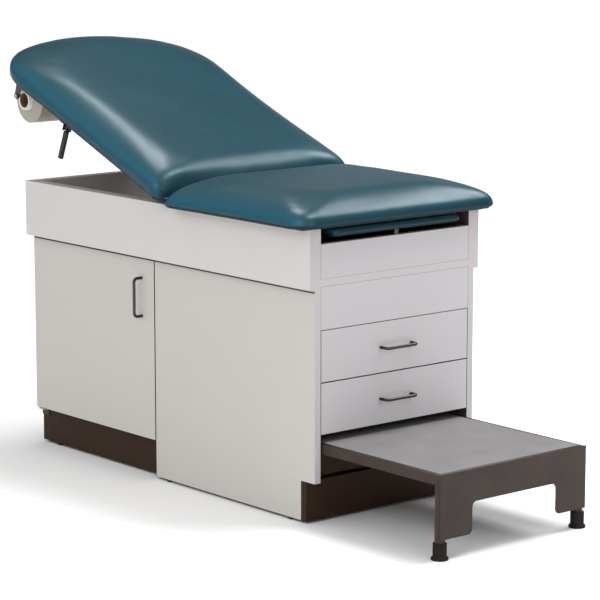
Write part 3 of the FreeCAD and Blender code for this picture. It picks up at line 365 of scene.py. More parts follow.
def laminate(name, shade, edge, foot_edge, inner=None, seams=None, reveal=None, joint=None):
    """Textured board laminate.

    edge is the tone of top edges, or None on the deck, whose top is then painted shade, darker in the slot;
    foot_edge is that of faces along X; inner is a depth and the painted shade of the faces within it;
    seams is the box of a board with painted shade lines round it; reveal is the height of a painted shadow
    line under an overhang, joint the X of an upright one; faces turned down always get painted shade.
    """
    p = Paint(name)
    mottle = p.noise(9.0, 3.0)
    fleck = p.noise(420.0, 2.0)
    dark = dimmed(shade, 0.985)
    tone = p.mix(p.spread(mottle, 0.0, 1.0, 0.2, 0.8), dark, shade)
    tone = p.mix(p.spread(fleck, 0.0, 0.35, 0.45, 0.75), tone, dimmed(shade, 0.9))
    top = p.spread(p.facing("Z"), 0.0, 1.0, 0.85, 0.95)
    # On the deck, top faces take painted shade: the well's tone before the hinge, darker in the slot.
    if edge is None:
        edge = p.mix(p.past_hinge(), linear(104, 108, 118), SLOT_SHADE)
    tone = p.mix(top, tone, edge)
    ends = p.spread(p.facing("X"), 0.0, 1.0, 0.85, 0.95)
    tone = p.mix(ends, tone, foot_edge)
    # Painted shade on faces turned down.
    painted_underside_shade = p.spread(p.toward("Z"), 1.0, 0.0, -0.95, -0.8)
    tone = p.mix(painted_underside_shade, tone, linear(54, 50, 48))
    # Painted shade on the inner faces, darker again in the slot.
    if inner is not None:
        depth, inner_shade = inner
        inner_shade = p.mix(p.past_hinge(), inner_shade, SLOT_SHADE)
        inside = p.spread(p.apart("Y", 0.0), 1.0, 0.0, depth - 0.0008, depth)
        tone = p.mix(p.sums("MULTIPLY", inside, p.upright()), tone, inner_shade)
    # Painted shadow lines: under the apron's overhang, and in the upright gap at joint.
    if reveal is not None:
        line = p.spread(p.apart("Z", reveal), 1.0, 0.0, 0.0014, 0.0024)
        tone = p.mix(p.sums("MULTIPLY", p.upright(), line), tone, GAP_SHADOW)
    if joint is not None:
        tone = p.mix(p.spread(p.apart("X", joint), 1.0, 0.0, 0.0010, 0.0016), tone, GAP_SHADOW)
    # Painted shade lines round the board, where it meets its neighbours.
    if seams is not None:
        low, high = seams
        beside = p.spread(p.apart("Y", 0.0), 0.0, 1.0, high[1] - 0.0016, high[1] - 0.0006)
        below = p.spread(p.along("Z"), 0.7, 0.0, low[2] + 0.0006, low[2] + 0.0016)
        above = p.spread(p.along("Z"), 0.0, 0.8, high[2] - 0.0016, high[2] - 0.0006)
        level = p.sums("MAXIMUM", below, above)
        tone = p.mix(p.sums("MAXIMUM", beside, level), tone, linear(118, 112, 112))
    p.colour(tone)
    p.rough(p.spread(p.noise(60.0, 2.0), 0.46, 0.60))
    p.bump(p.noise(800.0, 2.0), 0.0001, 0.3)
    p.plain(Specular_IOR_Level=0.3)
    return p.mat


def kick_board():
    p = Paint("kick_brown")
    grain = p.noise(18.0, 5.0, 0.6, p.place((1.0, 1.0, 9.0)))
    p.colour(p.blotch(grain, linear(47, 31, 21), linear(54, 37, 27)))
    p.rough(p.spread(grain, 0.5, 0.65))
    p.bump(grain, 0.0002, 0.2)
    p.plain(Specular_IOR_Level=0.15)
    return p.mat


def powder_coat():
    p = Paint("powder_brown")
    peel = p.noise(520.0, 2.0)
    cloud = p.noise(12.0, 3.0)
    p.colour(p.blotch(cloud, linear(47, 36, 32), linear(57, 45, 40)))
    p.rough(p.spread(peel, 0.42, 0.58))
    p.bump(peel, 0.0003, 0.5)
    p.plain(Specular_IOR_Level=0.3)
    return p.mat


def tread_mat():
    p = Paint("tread_grey")
    grit = p.cells(380.0)
    cloud = p.noise(10.0, 4.0)
    speck = p.noise(700.0, 2.0)
    tone = p.blotch(cloud, linear(116, 113, 115), linear(125, 122, 124))
    p.colour(p.mix(p.spread(speck, 0.0, 0.6, 0.5, 0.75), tone, linear(96, 92, 94)))
    p.rough(p.spread(grit, 0.75, 0.9))
    p.bump(grit, 0.0006, 0.6)
    return p.mat


def rubber():
    p = Paint("rubber_dark")
    dust = p.noise(60.0, 4.0)
    p.colour(p.mix(p.spread(dust, 0.0, 1.0, 0.4, 0.8), linear(22, 17, 15), linear(34, 27, 25)))
    p.rough(p.spread(dust, 0.6, 0.8))
    p.bump(p.noise(700.0, 2.0), 0.0003, 0.4)
    p.plain(Specular_IOR_Level=0.2)
    return p.mat


def metal(name, shade, rough_low, rough_high, stretch, scale):
    p = Paint(name)
    lines = p.noise(scale, 3.0, 0.6, p.place(stretch))
    dark = dimmed(shade, 0.8)
    p.colour(p.blotch(lines, dark, shade))
    p.rough(p.spread(lines, rough_low, rough_high))
    p.bump(lines, 0.0001, 0.25)
    p.plain(Metallic=1.0)
    return p.mat


def pivot_steel():
    """Zinc shelf above, painted over like the kick board where the flange lies on it."""
    p = Paint("pivot_painted")
    lines = p.noise(60.0, 3.0)
    steel = p.blotch(lines, linear(170, 168, 166), linear(188, 186, 184))
    brown = p.blotch(lines, linear(47, 31, 21), linear(54, 37, 27))
    p.colour(p.mix(p.spread(p.along("Z"), 0.0, 1.0, 0.0965, 0.0972), brown, steel))
    p.rough(p.spread(lines, 0.4, 0.6))
    p.bump(lines, 0.0001, 0.3)
    return p.mat


def plywood():
    p = Paint("plywood")
    grain = p.noise(14.0, 6.0, 0.65, p.place((1.5, 16.0, 16.0)))
    plies = p.wave(180.0, "Z", warp=1.0)
    face = p.blotch(grain, linear(124, 102, 76), linear(156, 132, 102))
    wood = p.mix(p.spread(plies, 0.0, 0.25), face, linear(104, 82, 58))
    wrap = p.blotch(p.noise(5.0, 2.0), linear(10, 46, 57), linear(14, 54, 66))
    p.colour(p.mix(p.spread(p.facing("Z"), 0.0, 1.0, 0.8, 0.88), wrap, wood))
    p.rough(p.spread(grain, 0.6, 0.8))
    p.bump(grain, 0.0004, 0.4)
    return p.mat


def black_finish(name, shade, rough_low, rough_high, scale, depth):
    p = Paint(name)
    peel = p.noise(scale, 3.0)
    p.colour(p.blotch(p.noise(30.0, 3.0), shade, dimmed(shade, 1.5)))
    p.rough(p.spread(peel, rough_low, rough_high))
    p.bump(peel, depth, 0.4)
    return p.mat


def white_plastic():
    p = Paint("plastic_white")
    cloud = p.noise(40.0, 3.0)
    p.colour(p.blotch(cloud, linear(206, 203, 197), linear(224, 222, 218)))
    p.rough(p.spread(cloud, 0.35, 0.5))
    p.bump(p.noise(500.0, 2.0), 0.0002, 0.3)
    return p.mat


def paper(axis_x, axis_z):
    p = Paint("paper_white")
    centred = p.place(shift=(-axis_x, 0, -axis_z))
    rings = p.wave(260.0, "Y", "RINGS", 0.6, centred)
    ends = p.spread(p.facing("Y"), 0.0, 1.0, 0.3, 0.8)
    crinkle = p.noise(40.0, 4.0, 0.6, p.place((1, 0.25, 1)))
    # Painted shade: the roll outside its white end ring is a darker grey-beige.
    side = p.blotch(crinkle, linear(158, 155, 142), linear(174, 171, 159))
    out = p.sums("SQRT", p.sums("ADD", p.sums("POWER", p.along("X", centred), 2.0),
                                p.sums("POWER", p.along("Z", centred), 2.0)), 0.0)
    tone = p.mix(p.spread(out, 1.0, 0.0, 0.0275, 0.029), side, linear(236, 235, 231))
    lines = p.sums("MULTIPLY", ends, p.spread(rings, 0.0, 0.4))
    p.colour(p.mix(lines, tone, linear(170, 166, 154)))
    p.rough(p.spread(crinkle, 0.8, 0.95))
    p.bump(p.sums("ADD", crinkle, p.sums("MULTIPLY", lines, 0.5)), 0.0008, 0.4)
    return p.mat


def card():
    p = Paint("card_brown")
    fibre = p.noise(220.0, 4.0, 0.6, p.place((1, 0.2, 1)))
    spiral = p.wave(9.0, "Y", warp=2.0)
    tone = p.blotch(fibre, linear(112, 82, 58), linear(152, 118, 88))
    p.colour(p.mix(p.spread(spiral, 0.0, 0.25), tone, linear(98, 70, 48)))
    p.rough(p.spread(fibre, 0.8, 0.95))
    p.bump(fibre, 0.0004, 0.4)
    return p.mat


def dress_nodes(looks):
    for label, names in NODE_LOOKS.items():
        for name in names.split():
            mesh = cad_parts[name].data
            mesh.materials.clear()
            mesh.materials.append(looks[label])


NODE_LOOKS = {
    "laminate": "head_panel apron_head",
    "panel": "near_side_panel",
    "far_panel": "far_side_panel",
    "door": "door_panel",
    "apron": "apron_near apron_far",
    "inside": "seat_cross_rail",
    "box": "partition_panel compartment_floor upper_drawer_box lower_drawer_box",
    "deck": "deck_panel",
    "front": "upper_drawer_front lower_drawer_front",
    "apron_board": "apron_front_board",
    "upper_board": "upper_front_panel",
    "kick": "kick_foot foot_rail kick_door kick_head",
    "board": "seat_board backrest_board leg_rest_board",
    "powder": "step_deck step_fascia step_frame step_guides",
    "tread": "step_tread",
    "rubber": "step_tips",
    "nickel": "door_pull upper_drawer_pull lower_drawer_pull",
    "steel": "seat_hinge_leaves backrest_hinge_leaves hinge_pins drawer_runners upper_drawer_rails "
             "lower_drawer_rails door_strike spring_foot_bracket spring_head_bracket roll_rod",
    "dark_steel": "roll_brackets leg_rest_guide leg_rest_channel",
    "pivot": "door_pivots",
    "chrome": "gas_rod",
    "black": "gas_cylinder",
    "grip": "release_grip release_cable release_lever release_bracket floor_glides",
    "white": "door_catch",
    "paper": "paper_roll",
    "card": "paper_core",
}


def make_looks():
    roll_low, roll_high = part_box("paper_roll")
    axis_x = (roll_low[0] + roll_high[0]) / 2
    axis_z = (roll_low[2] + roll_high[2]) / 2
    grey = linear(193, 189, 185)
    lilac = linear(188, 185, 188)
    beige = linear(194, 181, 176)
    foot = linear(186, 182, 183)
    # Painted shade: the tone of the well's inner faces, its deck and the rail inside it.
    shade = linear(128, 134, 146)
    # Painted shade for faces that look into gaps: drawer fronts' and boards' edges, the door's top.
    gap_shade = linear(64, 60, 60)
    skin = 0.0012
    apron_in = abs(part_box("apron_near")[1][1]) + skin
    panel_in = abs(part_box("near_side_panel")[1][1]) + skin
    apron_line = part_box("apron_near")[0][2] - 0.0060
    door_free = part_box("door_panel")[1][0]
    return {
        "vinyl": vinyl(),
        "laminate": laminate("laminate_grey", grey, beige, foot),
        # The aprons are the grey laminate drawn a little lighter: painted light.
        "apron": laminate("laminate_apron", linear(202, 199, 197), beige, foot, (apron_in, shade)),
        "panel": laminate("laminate_panel", grey, beige, foot, (panel_in, shade), reveal=apron_line,
                          joint=door_free + 0.002),
        "far_panel": laminate("laminate_far_panel", grey, beige, foot, (panel_in, shade), reveal=apron_line),
        "door": laminate("laminate_door", grey, gap_shade, foot, reveal=apron_line, joint=door_free),
        "inside": laminate("laminate_inside", shade, shade, shade),
        "deck": laminate("laminate_deck", shade, None, lilac),
        "box": laminate("laminate_box", grey, grey, grey),
        "front": laminate("laminate_front", gap_shade, gap_shade, lilac),
        "apron_board": laminate("laminate_apron_board", gap_shade, gap_shade, lilac, seams=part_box("apron_front_board")),
        "upper_board": laminate("laminate_upper_board", gap_shade, gap_shade, lilac, seams=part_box("upper_front_panel")),
        "pivot": pivot_steel(),
        "kick": kick_board(),
        "board": plywood(),
        "powder": powder_coat(),
        "tread": tread_mat(),
        "rubber": rubber(),
        "nickel": metal("nickel_dark", linear(74, 71, 69), 0.05, 0.10, (30, 3, 30), 40.0),
        "steel": metal("steel_zinc", linear(172, 174, 176), 0.3, 0.5, (6, 6, 6), 30.0),
        "dark_steel": metal("steel_dark", linear(92, 91, 92), 0.35, 0.5, (6, 6, 6), 30.0),
        "trim": metal("trim_bronzed", linear(112, 104, 99), 0.35, 0.5, (3, 30, 30), 40.0),
        "chrome": metal("rod_polished", linear(210, 211, 213), 0.06, 0.14, (4, 4, 60), 20.0),
        "black": black_finish("paint_black", linear(22, 22, 24), 0.28, 0.4, 300.0, 0.0002),
        "grip": black_finish("grip_black", linear(20, 20, 22), 0.45, 0.62, 420.0, 0.0005),
        "white": white_plastic(),
        "paper": paper(axis_x, axis_z),
        "card": card(),
    }


# Cushions

# Outlines have a point every SPACING before they are resampled; TUCK is in degrees.
SPACING = 0.009
RIM_POINTS = 320
TUCK = 88
TUCK_STEPS = 7
CROWN_STEPS = 16
CLOTH_FRAMES = 20

# Heights up to which a cover is held to its board while it swells
SEAT_HELD = 0.012
BACK_HELD = BOARD_LOW + 0.014
LEG_HELD = 0.012


def arc_points(cx, cy, radius, start, end):
    count = max(3, int(abs(end - start) * radius / SPACING))
    return [(cx + radius * math.cos(start + (end - start) * i / count),
             cy + radius * math.sin(start + (end - start) * i / count)) for i in range(count)]


def run_points(start, end, draw):
    """A straight run, drawn in at its middle by draw."""
    count = max(2, int(math.dist(start, end) / SPACING))
    spots = []
    for i in range(count):
        share = i / count
        x = start[0] + (end[0] - start[0]) * share
        y = start[1] + (end[1] - start[1]) * share
        spots.append((x, y - math.copysign(draw * math.sin(math.pi * share), y)))
    return spots


def rim(low, high, wide, round_low, round_high, draw, bow):
    """Cushion outline, anticlockwise from the near hinge corner; the high end bows out."""
    spots = []
    half_pi = math.pi / 2
    if bow > 0:
        radius = (wide * wide + bow * bow) / (2 * bow)
        cx = high - radius
        cy = wide - round_high
        mid_x = cx + math.sqrt((radius - round_high) ** 2 - cy ** 2)
        reach = math.atan2(cy, mid_x - cx)
    else:
        mid_x = high - round_high
        cy = wide - round_high
        reach = 0.0
    spots += run_points((low + round_low, -wide), (mid_x, -wide), draw)
    spots += arc_points(mid_x, -cy, round_high, -half_pi, -reach)
    if bow > 0:
        spots += arc_points(cx, 0.0, radius, -reach, reach)
    else:
        spots += run_points((high, -cy), (high, cy), 0.0)
    spots += arc_points(mid_x, cy, round_high, reach, half_pi)
    spots += run_points((mid_x, wide), (low + round_low, wide), draw)
    spots += arc_points(low + round_low, wide - round_low, round_low, half_pi, math.pi)
    spots += run_points((low, wide - round_low), (low, round_low - wide), 0.0)
    spots += arc_points(low + round_low, round_low - wide, round_low, math.pi, 1.5 * math.pi)
    return spots


def resampled(spots, count):
    """A closed outline as evenly spaced points."""
    closed = spots + spots[:1]
    runs = [0.0]
    for before, after in zip(closed, closed[1:]):
        runs.append(runs[-1] + math.dist(before, after))
    out = []
    index = 0
    for i in range(count):
        wanted = runs[-1] * i / count
        while runs[index + 1] < wanted:
            index += 1
        share = (wanted - runs[index]) / (runs[index + 1] - runs[index])
        a, b = closed[index], closed[index + 1]
        out.append((a[0] + (b[0] - a[0]) * share, a[1] + (b[1] - a[1]) * share))
    return out


def ring_faces(rows, count):
    """Quads between neighbouring rings of points, row after row."""
    faces = []
    for row in range(rows - 1):
        for i in range(count):
            a = row * count + i
            b = row * count + (i + 1) % count
            faces.append((a, b, b + count, a + count))
    return faces


def outward(mesh):
    """Turns every face of a closed mesh outwards."""
    bm = bmesh.new()
    bm.from_mesh(mesh)
    bmesh.ops.recalc_face_normals(bm, faces=bm.faces)
    bm.to_mesh(mesh)
    bm.free()


def cushion_mesh(name, form, place):
    """A closed cushion: stacked outlines from the tuck under the board's edge up to the crown."""
    count = RIM_POINTS
    side, hinge, end = form["slopes"]
    levels = []
    for i in range(TUCK_STEPS + 1):
        turn = math.radians(TUCK * (i / TUCK_STEPS - 1))
        inset = form["low"] * (1 - math.cos(turn))
        levels.append((inset, inset * form["hinge_tuck"], inset, form["low"] * (1 + math.sin(turn))))
    for i in range(1, CROWN_STEPS + 1):
        turn = math.radians(90 * i / CROWN_STEPS)
        rise = 1 - math.cos(turn)
        levels.append((side * rise, hinge * rise, end * rise, form["low"] + form["high"] * math.sin(turn)))
    verts = []
    for in_side, in_hinge, in_end, height in levels:
        level = form["lift"] + height
        low, high = form["x"][0] + in_hinge, form["x"][1] - in_end
        if form["pin"] is not None:
            low = max(low, (level - form["pin"]) * FOLD_SLOPE + FOLD_CLEAR)
        half = form["half"] - in_side
        limit = 0.8 * min(half, (high - low) / 2)
        ends = (min(form["ends"][0] + min(in_side, in_hinge) / 2, limit),
                min(form["ends"][1] + min(in_side, in_end) / 2, limit))
        ring = resampled(rim(low, high, half, ends[0], ends[1], form["draw"], form["bow"]), count)
        verts += [place(x, y, level) for x, y in ring]
    faces = ring_faces(len(levels), count)
    faces.append(tuple(reversed(range(count))))
    top = (len(levels) - 1) * count
    faces.append(tuple(range(top, top + count)))
    mesh = bpy.data.meshes.new(name)
    mesh.from_pydata([tuple(v) for v in verts], [], faces)
    outward(mesh)
    return linked(name, mesh)


def apply_all(obj):
    """Makes the shape that the modifiers give the object's own mesh."""
    graph = bpy.context.evaluated_depsgraph_get()
    mesh = bpy.data.meshes.new_from_object(obj.evaluated_get(graph))
    obj.modifiers.clear()
    obj.data = mesh


def remeshed(obj, voxel):
    remesh = obj.modifiers.new("remesh", "REMESH")
    remesh.mode = "VOXEL"
    remesh.voxel_size = voxel
    apply_all(obj)


def inflate(obj, pressure, cap, held):
    """Cloth swells the closed form; points for which held() is true stay, and no point moves past cap."""
    before = [v.co.copy() for v in obj.data.vertices]
    group = obj.vertex_groups.new(name="held")
    group.add([v.index for v in obj.data.vertices if held(v.co)], 1.0, "REPLACE")
    cloth = obj.modifiers.new("cloth", "CLOTH")
    settings = cloth.settings
    settings.quality = 4
    settings.mass = 0.3
    settings.tension_stiffness = 30
    settings.compression_stiffness = 30
    settings.shear_stiffness = 12
    settings.bending_stiffness = 40.0
    settings.use_pressure = True
    settings.uniform_pressure_force = pressure
    settings.vertex_group_mass = group.name
    settings.effector_weights.gravity = 0
    cloth.collision_settings.use_collision = False
    cloth.collision_settings.use_self_collision = False
    cloth.point_cache.frame_start = 1
    cloth.point_cache.frame_end = CLOTH_FRAMES
    for number in range(1, CLOTH_FRAMES + 1):
        scene.frame_set(number)
    apply_all(obj)
    scene.frame_set(1)
    obj.vertex_groups.clear()
    for vertex, old in zip(obj.data.vertices, before):
        move = vertex.co - old
        if move.length > cap:
            vertex.co = old + move * (cap / move.length)


def relaxed(obj, rounds, held):
    """Evens out small ripples above the tuck."""
    bm = bmesh.new()
    bm.from_mesh(obj.data)
    free = [v for v in bm.verts if not held(v.co)]
    for _ in range(rounds):
        bmesh.ops.smooth_vert(bm, verts=free, factor=0.5, use_axis_x=True, use_axis_y=True, use_axis_z=True)
    bm.to_mesh(obj.data)
    bm.free()


def smooth_faces(obj):
    for polygon in obj.data.polygons:
        polygon.use_smooth = True


def finished(obj, look):
    """Subdivides a cover once, smooths it and gives it its look."""
    modifier = obj.modifiers.new("subdivision", "SUBSURF")
    modifier.levels = 1
    modifier.render_levels = 1
    apply_all(obj)
    smooth_faces(obj)
    obj.data.materials.clear()
    obj.data.materials.append(look)


SEAT_FORM = {"x": (CUSHION_END, HINGE_SET + SEAT_OVER), "half": TOP_HALF, "low": 0.020, "high": 0.046,
             "slopes": (0.120, 0.050, 0.120), "ends": (0.026, 0.046), "draw": 0.003, "bow": 0.0,
             "lift": 0.0004, "pin": 0.009, "hinge_tuck": 0.12}
BACK_FORM = {"x": (CUSHION_END, BACK_LENGTH + 0.004), "half": TOP_HALF, "low": 0.030, "high": 0.050,
             "slopes": (0.100, 0.060, 0.150), "ends": (0.026, 0.180), "draw": -0.006, "bow": 0.112,
             "lift": BOARD_LOW + 0.0004, "pin": 0.0, "hinge_tuck": 0.12}


def seat_place(x, y, n):
    return Vector((HINGE_X + x, y, TABLE_TOP + n))


def pleats(obj, corners, amount):
    """Small gathers where the cover is drawn round a corner, strongest at the lower edge.

    A corner is its centre, its up and out directions, and how far out and how high the gathers reach.
    """
    for vertex in obj.data.vertices:
        for centre, up, out_axis, reach, top in corners:
            offset = vertex.co - centre
            height = offset.dot(up)
            flat = offset - up * height
            if flat.length > reach or height > top:
                continue
            angle = math.atan2(flat.dot(out_axis), flat.dot(up.cross(out_axis)))
            fade = max(0.0, 1.0 - height / top) * min(1.0, (reach - flat.length) / (0.4 * reach))
            fold = math.sin(angle * 17.0 + 1.3 * math.sin(angle * 5.0))
            vertex.co += flat.normalized() * (amount * fade * fold)


# The seat's dome: its rise, the height where it starts, and how it fades in
DOME_RISE = 0.012
DOME_START = 0.04
DOME_BLEND = 0.015
DOME_EASE = 0.2


def crowned(obj):
    """Domes the top of the seat, fading out towards its hinge end and its rim."""
    for vertex in obj.data.vertices:
        x = vertex.co.x - HINGE_X
        above = vertex.co.z - TABLE_TOP - DOME_START
        if above < 0:
            continue
        run = max(0.0, min(1.0, (x - CUSHION_END) / (HINGE_SET + SEAT_OVER - CUSHION_END)))
        across = max(0.0, 1.0 - (vertex.co.y / TOP_HALF) ** 4)
        ease = min(1.0, run / DOME_EASE)
        height = min(1.0, above / DOME_BLEND)
        vertex.co.z += DOME_RISE * ease * ease * (3 - 2 * ease) * (1.0 - run ** 2) * across * height


def make_cushions(look):
    seat = cushion_mesh("seat_vinyl", SEAT_FORM, seat_place)
    back = cushion_mesh("backrest_vinyl", BACK_FORM, back_point)
    voxel = 0.006
    up = Vector((0, 0, 1))
    hinge = back_point(0, 0, 0)
    up_back = (back_point(0, 0, 1) - hinge).normalized()
    for obj, low, normal, base in ((seat, SEAT_HELD, up, Vector((0, 0, TABLE_TOP))),
                                   (back, BACK_HELD, up_back, hinge)):
        remeshed(obj, voxel)

        def held(co, n=normal, b=base, h=low):
            return (co - b).dot(n) < h

        inflate(obj, pressure=2.5, cap=0.006, held=held)
        relaxed(obj, rounds=40, held=held)
    crowned(seat)
    seat_corners = []
    for x, out in ((CUSHION_END + 0.03, -1), (HINGE_SET + SEAT_OVER - 0.06, 1)):
        for side in (-1, 1):
            centre = seat_place(x, side * (TOP_HALF - 0.045), 0.0)
            seat_corners.append((centre, up, Vector((out, 0, 0)), 0.07, 0.03))
    back_corners = []
    for side in (-1, 1):
        centre = back_point(CUSHION_END + 0.03, side * (TOP_HALF - 0.035), BOARD_LOW)
        back_corners.append((centre, up_back, Vector((0, side, 0)), 0.06, 0.04))
    pleats(seat, seat_corners, amount=0.0010)
    pleats(back, back_corners, amount=0.0012)
    for obj, node, body in ((seat, "seat_cushion", "cabinet"), (back, "backrest_cushion", "backrest")):
        finished(obj, look)
        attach(obj, body)
        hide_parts(node)


LEG_FORM = {"x": (-0.476, 0.0), "half": 0.211, "low": 0.003, "high": 0.016, "slopes": (0.005, 0.005, 0.005),
            "ends": (0.008, 0.008), "draw": 0.001, "bow": 0.0, "lift": 0.0005, "pin": None,
            "hinge_tuck": 1.0}


def make_leg_pad(look):
    low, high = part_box("leg_rest_board")
    base = low[2]
    tip = high[0] + 0.009
    pad = cushion_mesh("leg_rest_vinyl", LEG_FORM, lambda x, y, n: Vector((tip + x, y, base + n)))
    remeshed(pad, 0.0046)
    inflate(pad, pressure=2.0, cap=0.001, held=lambda co: co.z < base + LEG_HELD)
    finished(pad, look)
    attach(pad, "leg_rest")
    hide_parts("leg_rest_pad")


# Fasteners, trims and the turned-under cover


def scattered(name, stamp, spots, look, body):
    """Copies of a small mesh at spots of (place, up, along), realised as one piece."""
    mesh = bpy.data.meshes.new(name)
    mesh.from_pydata([tuple(place) for place, up, along in spots], [], [])
    turn = mesh.attributes.new("turn", "FLOAT_VECTOR", "POINT")
    for item, (place, up, along) in zip(turn.data, spots):
        side = up.cross(along).normalized()
        flat = side.cross(up).normalized()
        item.vector = Matrix((flat, side, up.normalized())).transposed().to_euler()
    obj = linked(name, mesh)
    source = linked(name + "_stamp", stamp)
    tree = bpy.data.node_groups.new(name, "GeometryNodeTree")
    tree.interface.new_socket("Geometry", in_out="INPUT", socket_type="NodeSocketGeometry")
    size = tree.interface.new_socket("Copy Size", in_out="INPUT", socket_type="NodeSocketFloat")
    size.default_value = 1.0
    tree.interface.new_socket("Geometry", in_out="OUTPUT", socket_type="NodeSocketGeometry")
    kinds = {"start": "NodeGroupInput", "end": "NodeGroupOutput", "copies": "GeometryNodeInstanceOnPoints",
             "shape": "GeometryNodeObjectInfo", "real": "GeometryNodeRealizeInstances",
             "paint": "GeometryNodeSetMaterial", "turn": "GeometryNodeInputNamedAttribute",
             "euler": "FunctionNodeEulerToRotation"}
    nodes = {key: tree.nodes.new(kind) for key, kind in kinds.items()}
    nodes["shape"].inputs["Object"].default_value = source
    nodes["turn"].data_type = "FLOAT_VECTOR"
    nodes["turn"].inputs["Name"].default_value = "turn"
    nodes["paint"].inputs["Material"].default_value = look
    wires = (("start", "Geometry", "copies", "Points"), ("start", "Copy Size", "copies", "Scale"),
             ("shape", "Geometry", "copies", "Instance"), ("turn", "Attribute", "euler", "Euler"),
             ("euler", "Rotation", "copies", "Rotation"), ("copies", "Instances", "real", "Geometry"),
             ("real", "Geometry", "paint", "Geometry"), ("paint", "Geometry", "end", "Geometry"))
    for giver, output, taker, socket in wires:
        tree.links.new(nodes[giver].outputs[output], nodes[taker].inputs[socket])
    modifier = obj.modifiers.new("copies", "NODES")
    modifier.node_group = tree
    modifier[size.identifier] = 1.0
    apply_all(obj)
    bpy.data.objects.remove(source)
    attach(obj, body)


TURN_POINTS = 24


def turned(name, rings):
    """A closed solid from rings of (height, radius); a radius may be a function of the point's number."""
    count = TURN_POINTS
    verts = []
    for height, radius in rings:
        for i in range(count):
            angle = 2 * math.pi * i / count
            reach = radius(i) if callable(radius) else radius
            verts.append((reach * math.cos(angle), reach * math.sin(angle), height))
    faces = ring_faces(len(rings), count)
    top = (len(rings) - 1) * count
    faces.append(tuple(range(top, top + count)))
    faces.append(tuple(reversed(range(count))))
    mesh = bpy.data.meshes.new(name)
    mesh.from_pydata(verts, [], faces)
    outward(mesh)
    for polygon in mesh.polygons:
        polygon.use_smooth = len(polygon.vertices) == 4
    return mesh


def screw_head(radius):
    """A domed head with a cross recess."""
    def cross(i):
        return radius * (0.5 if i % 6 in (0, 1, 5) else 0.2)

    crown = radius * 0.55
    return turned("screw_head", [(-0.0005, radius), (radius * 0.25, radius), (radius * 0.45, radius * 0.85),
                                 (crown, radius * 0.6), (crown, cross), (radius * 0.2, cross)])


def hex_nut(across, height, rod):
    """A nut, across from its middle to a flat, with the end of its rod."""
    def hexagon(i):
        return across / math.cos(math.radians((i * 360 / TURN_POINTS) % 60 - 30))

    return turned("hex_nut", [(0.0, across * 0.97), (height * 0.1, hexagon), (height * 0.85, hexagon),
                              (height, across * 0.97), (height, rod), (height * 1.6, rod * 0.9)])


# Staples sit at every STAPLE_STEP-th point, STAPLE_SHARE of the way across the turned-under edge.
STAPLE_RISE = 0.00096
STAPLE_DROP = 0.0022
STAPLE_SHARE = 0.55
STAPLE_STEP = 3
MARGIN_POINTS = 300
FOLD_DEPTH = 0.0008
RAGGED = 0.0012


def staple():
    """A wire crown with its two short legs."""
    half, rise, wire = 0.0052, 0.0006, 0.0006
    leg = -0.0015
    path = [(-half, leg), (-half, rise * 0.4), (-half * 0.9, rise), (half * 0.9, rise), (half, rise * 0.4),
            (half, leg)]
    verts = []
    for x, z in path:
        for y_side, z_side in ((-1, -0.6), (1, -0.6), (1, 0.6), (-1, 0.6)):
            shift = 0.0 if abs(x) < half else math.copysign(wire * 0.6 * z_side, x)
            lift = wire * 0.6 * z_side if abs(x) < half else 0.0
            verts.append((x + shift, wire * y_side, z + lift))
    faces = ring_faces(len(path), 4)
    last = 4 * (len(path) - 1)
    faces.append((3, 2, 1, 0))
    faces.append((last, last + 1, last + 2, last + 3))
    mesh = bpy.data.meshes.new("staple")
    mesh.from_pydata(verts, [], faces)
    outward(mesh)
    return mesh


def margin(name, place, outer, inner, level, look, body, loose):
    """The cover's edge, turned under a board and gathered at the corners; gives the staple line.

    loose is how far it stands off the board, 1 for a free edge, less where the board rests on it.
    """
    count = MARGIN_POINTS
    far = resampled(rim(*outer), count)
    near = resampled(rim(*inner), count)
    shares = (0.0, 0.02, 0.25, 0.5, 0.75, 0.97, 1.0, 0.97)
    drops = (0.0, 0.0009, 0.0012, 0.0010, 0.0012, 0.0010, 0.0006, 0.0001)
    verts = []
    line = []
    bends = []
    for i in range(count):
        a = Vector(far[(i + 4) % count]) - Vector(far[i])
        b = Vector(far[i]) - Vector(far[(i - 4) % count])
        bends.append(min(1.0, a.angle(b) / 0.12))
    for share, drop in zip(shares, drops):
        for i in range(count):
            x = far[i][0] + (near[i][0] - far[i][0]) * share
            y = far[i][1] + (near[i][1] - far[i][1]) * share
            fold = bends[i] * FOLD_DEPTH * abs(math.sin(i * 0.9)) * (0.3 + share)
            ragged = RAGGED * noise.noise(Vector((i * 0.13, share * 2, 0.0))) * share
            verts.append(place(x + ragged, y + ragged, level - (drop + fold) * loose))
    for i in range(0, count, STAPLE_STEP):
        x = far[i][0] + (near[i][0] - far[i][0]) * STAPLE_SHARE
        y = far[i][1] + (near[i][1] - far[i][1]) * STAPLE_SHARE
        after = far[(i + 1) % count]
        spot = place(x, y, level + STAPLE_RISE - STAPLE_DROP * loose)
        run = place(x + after[0] - far[i][0], y + after[1] - far[i][1], 0.0) - place(x, y, 0.0)
        lean = 0.25 * noise.noise(Vector((i * 0.7, 3.1, 0.0)))
        down = place(0.0, 0.0, -1.0) - place(0.0, 0.0, 0.0)
        run = run.normalized() + down.normalized().cross(run.normalized()) * lean
        line.append((spot, down.normalized(), run.normalized()))
    faces = ring_faces(len(shares), count)
    last = (len(shares) - 1) * count
    for i in range(count):
        after = (i + 1) % count
        faces.append((last + i, last + after, after, i))
    mesh = bpy.data.meshes.new(name)
    mesh.from_pydata([tuple(v) for v in verts], [], faces)
    obj = linked(name, mesh)
    outward(mesh)
    smooth_faces(obj)
    mesh.materials.append(look)
    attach(obj, body)
    return line


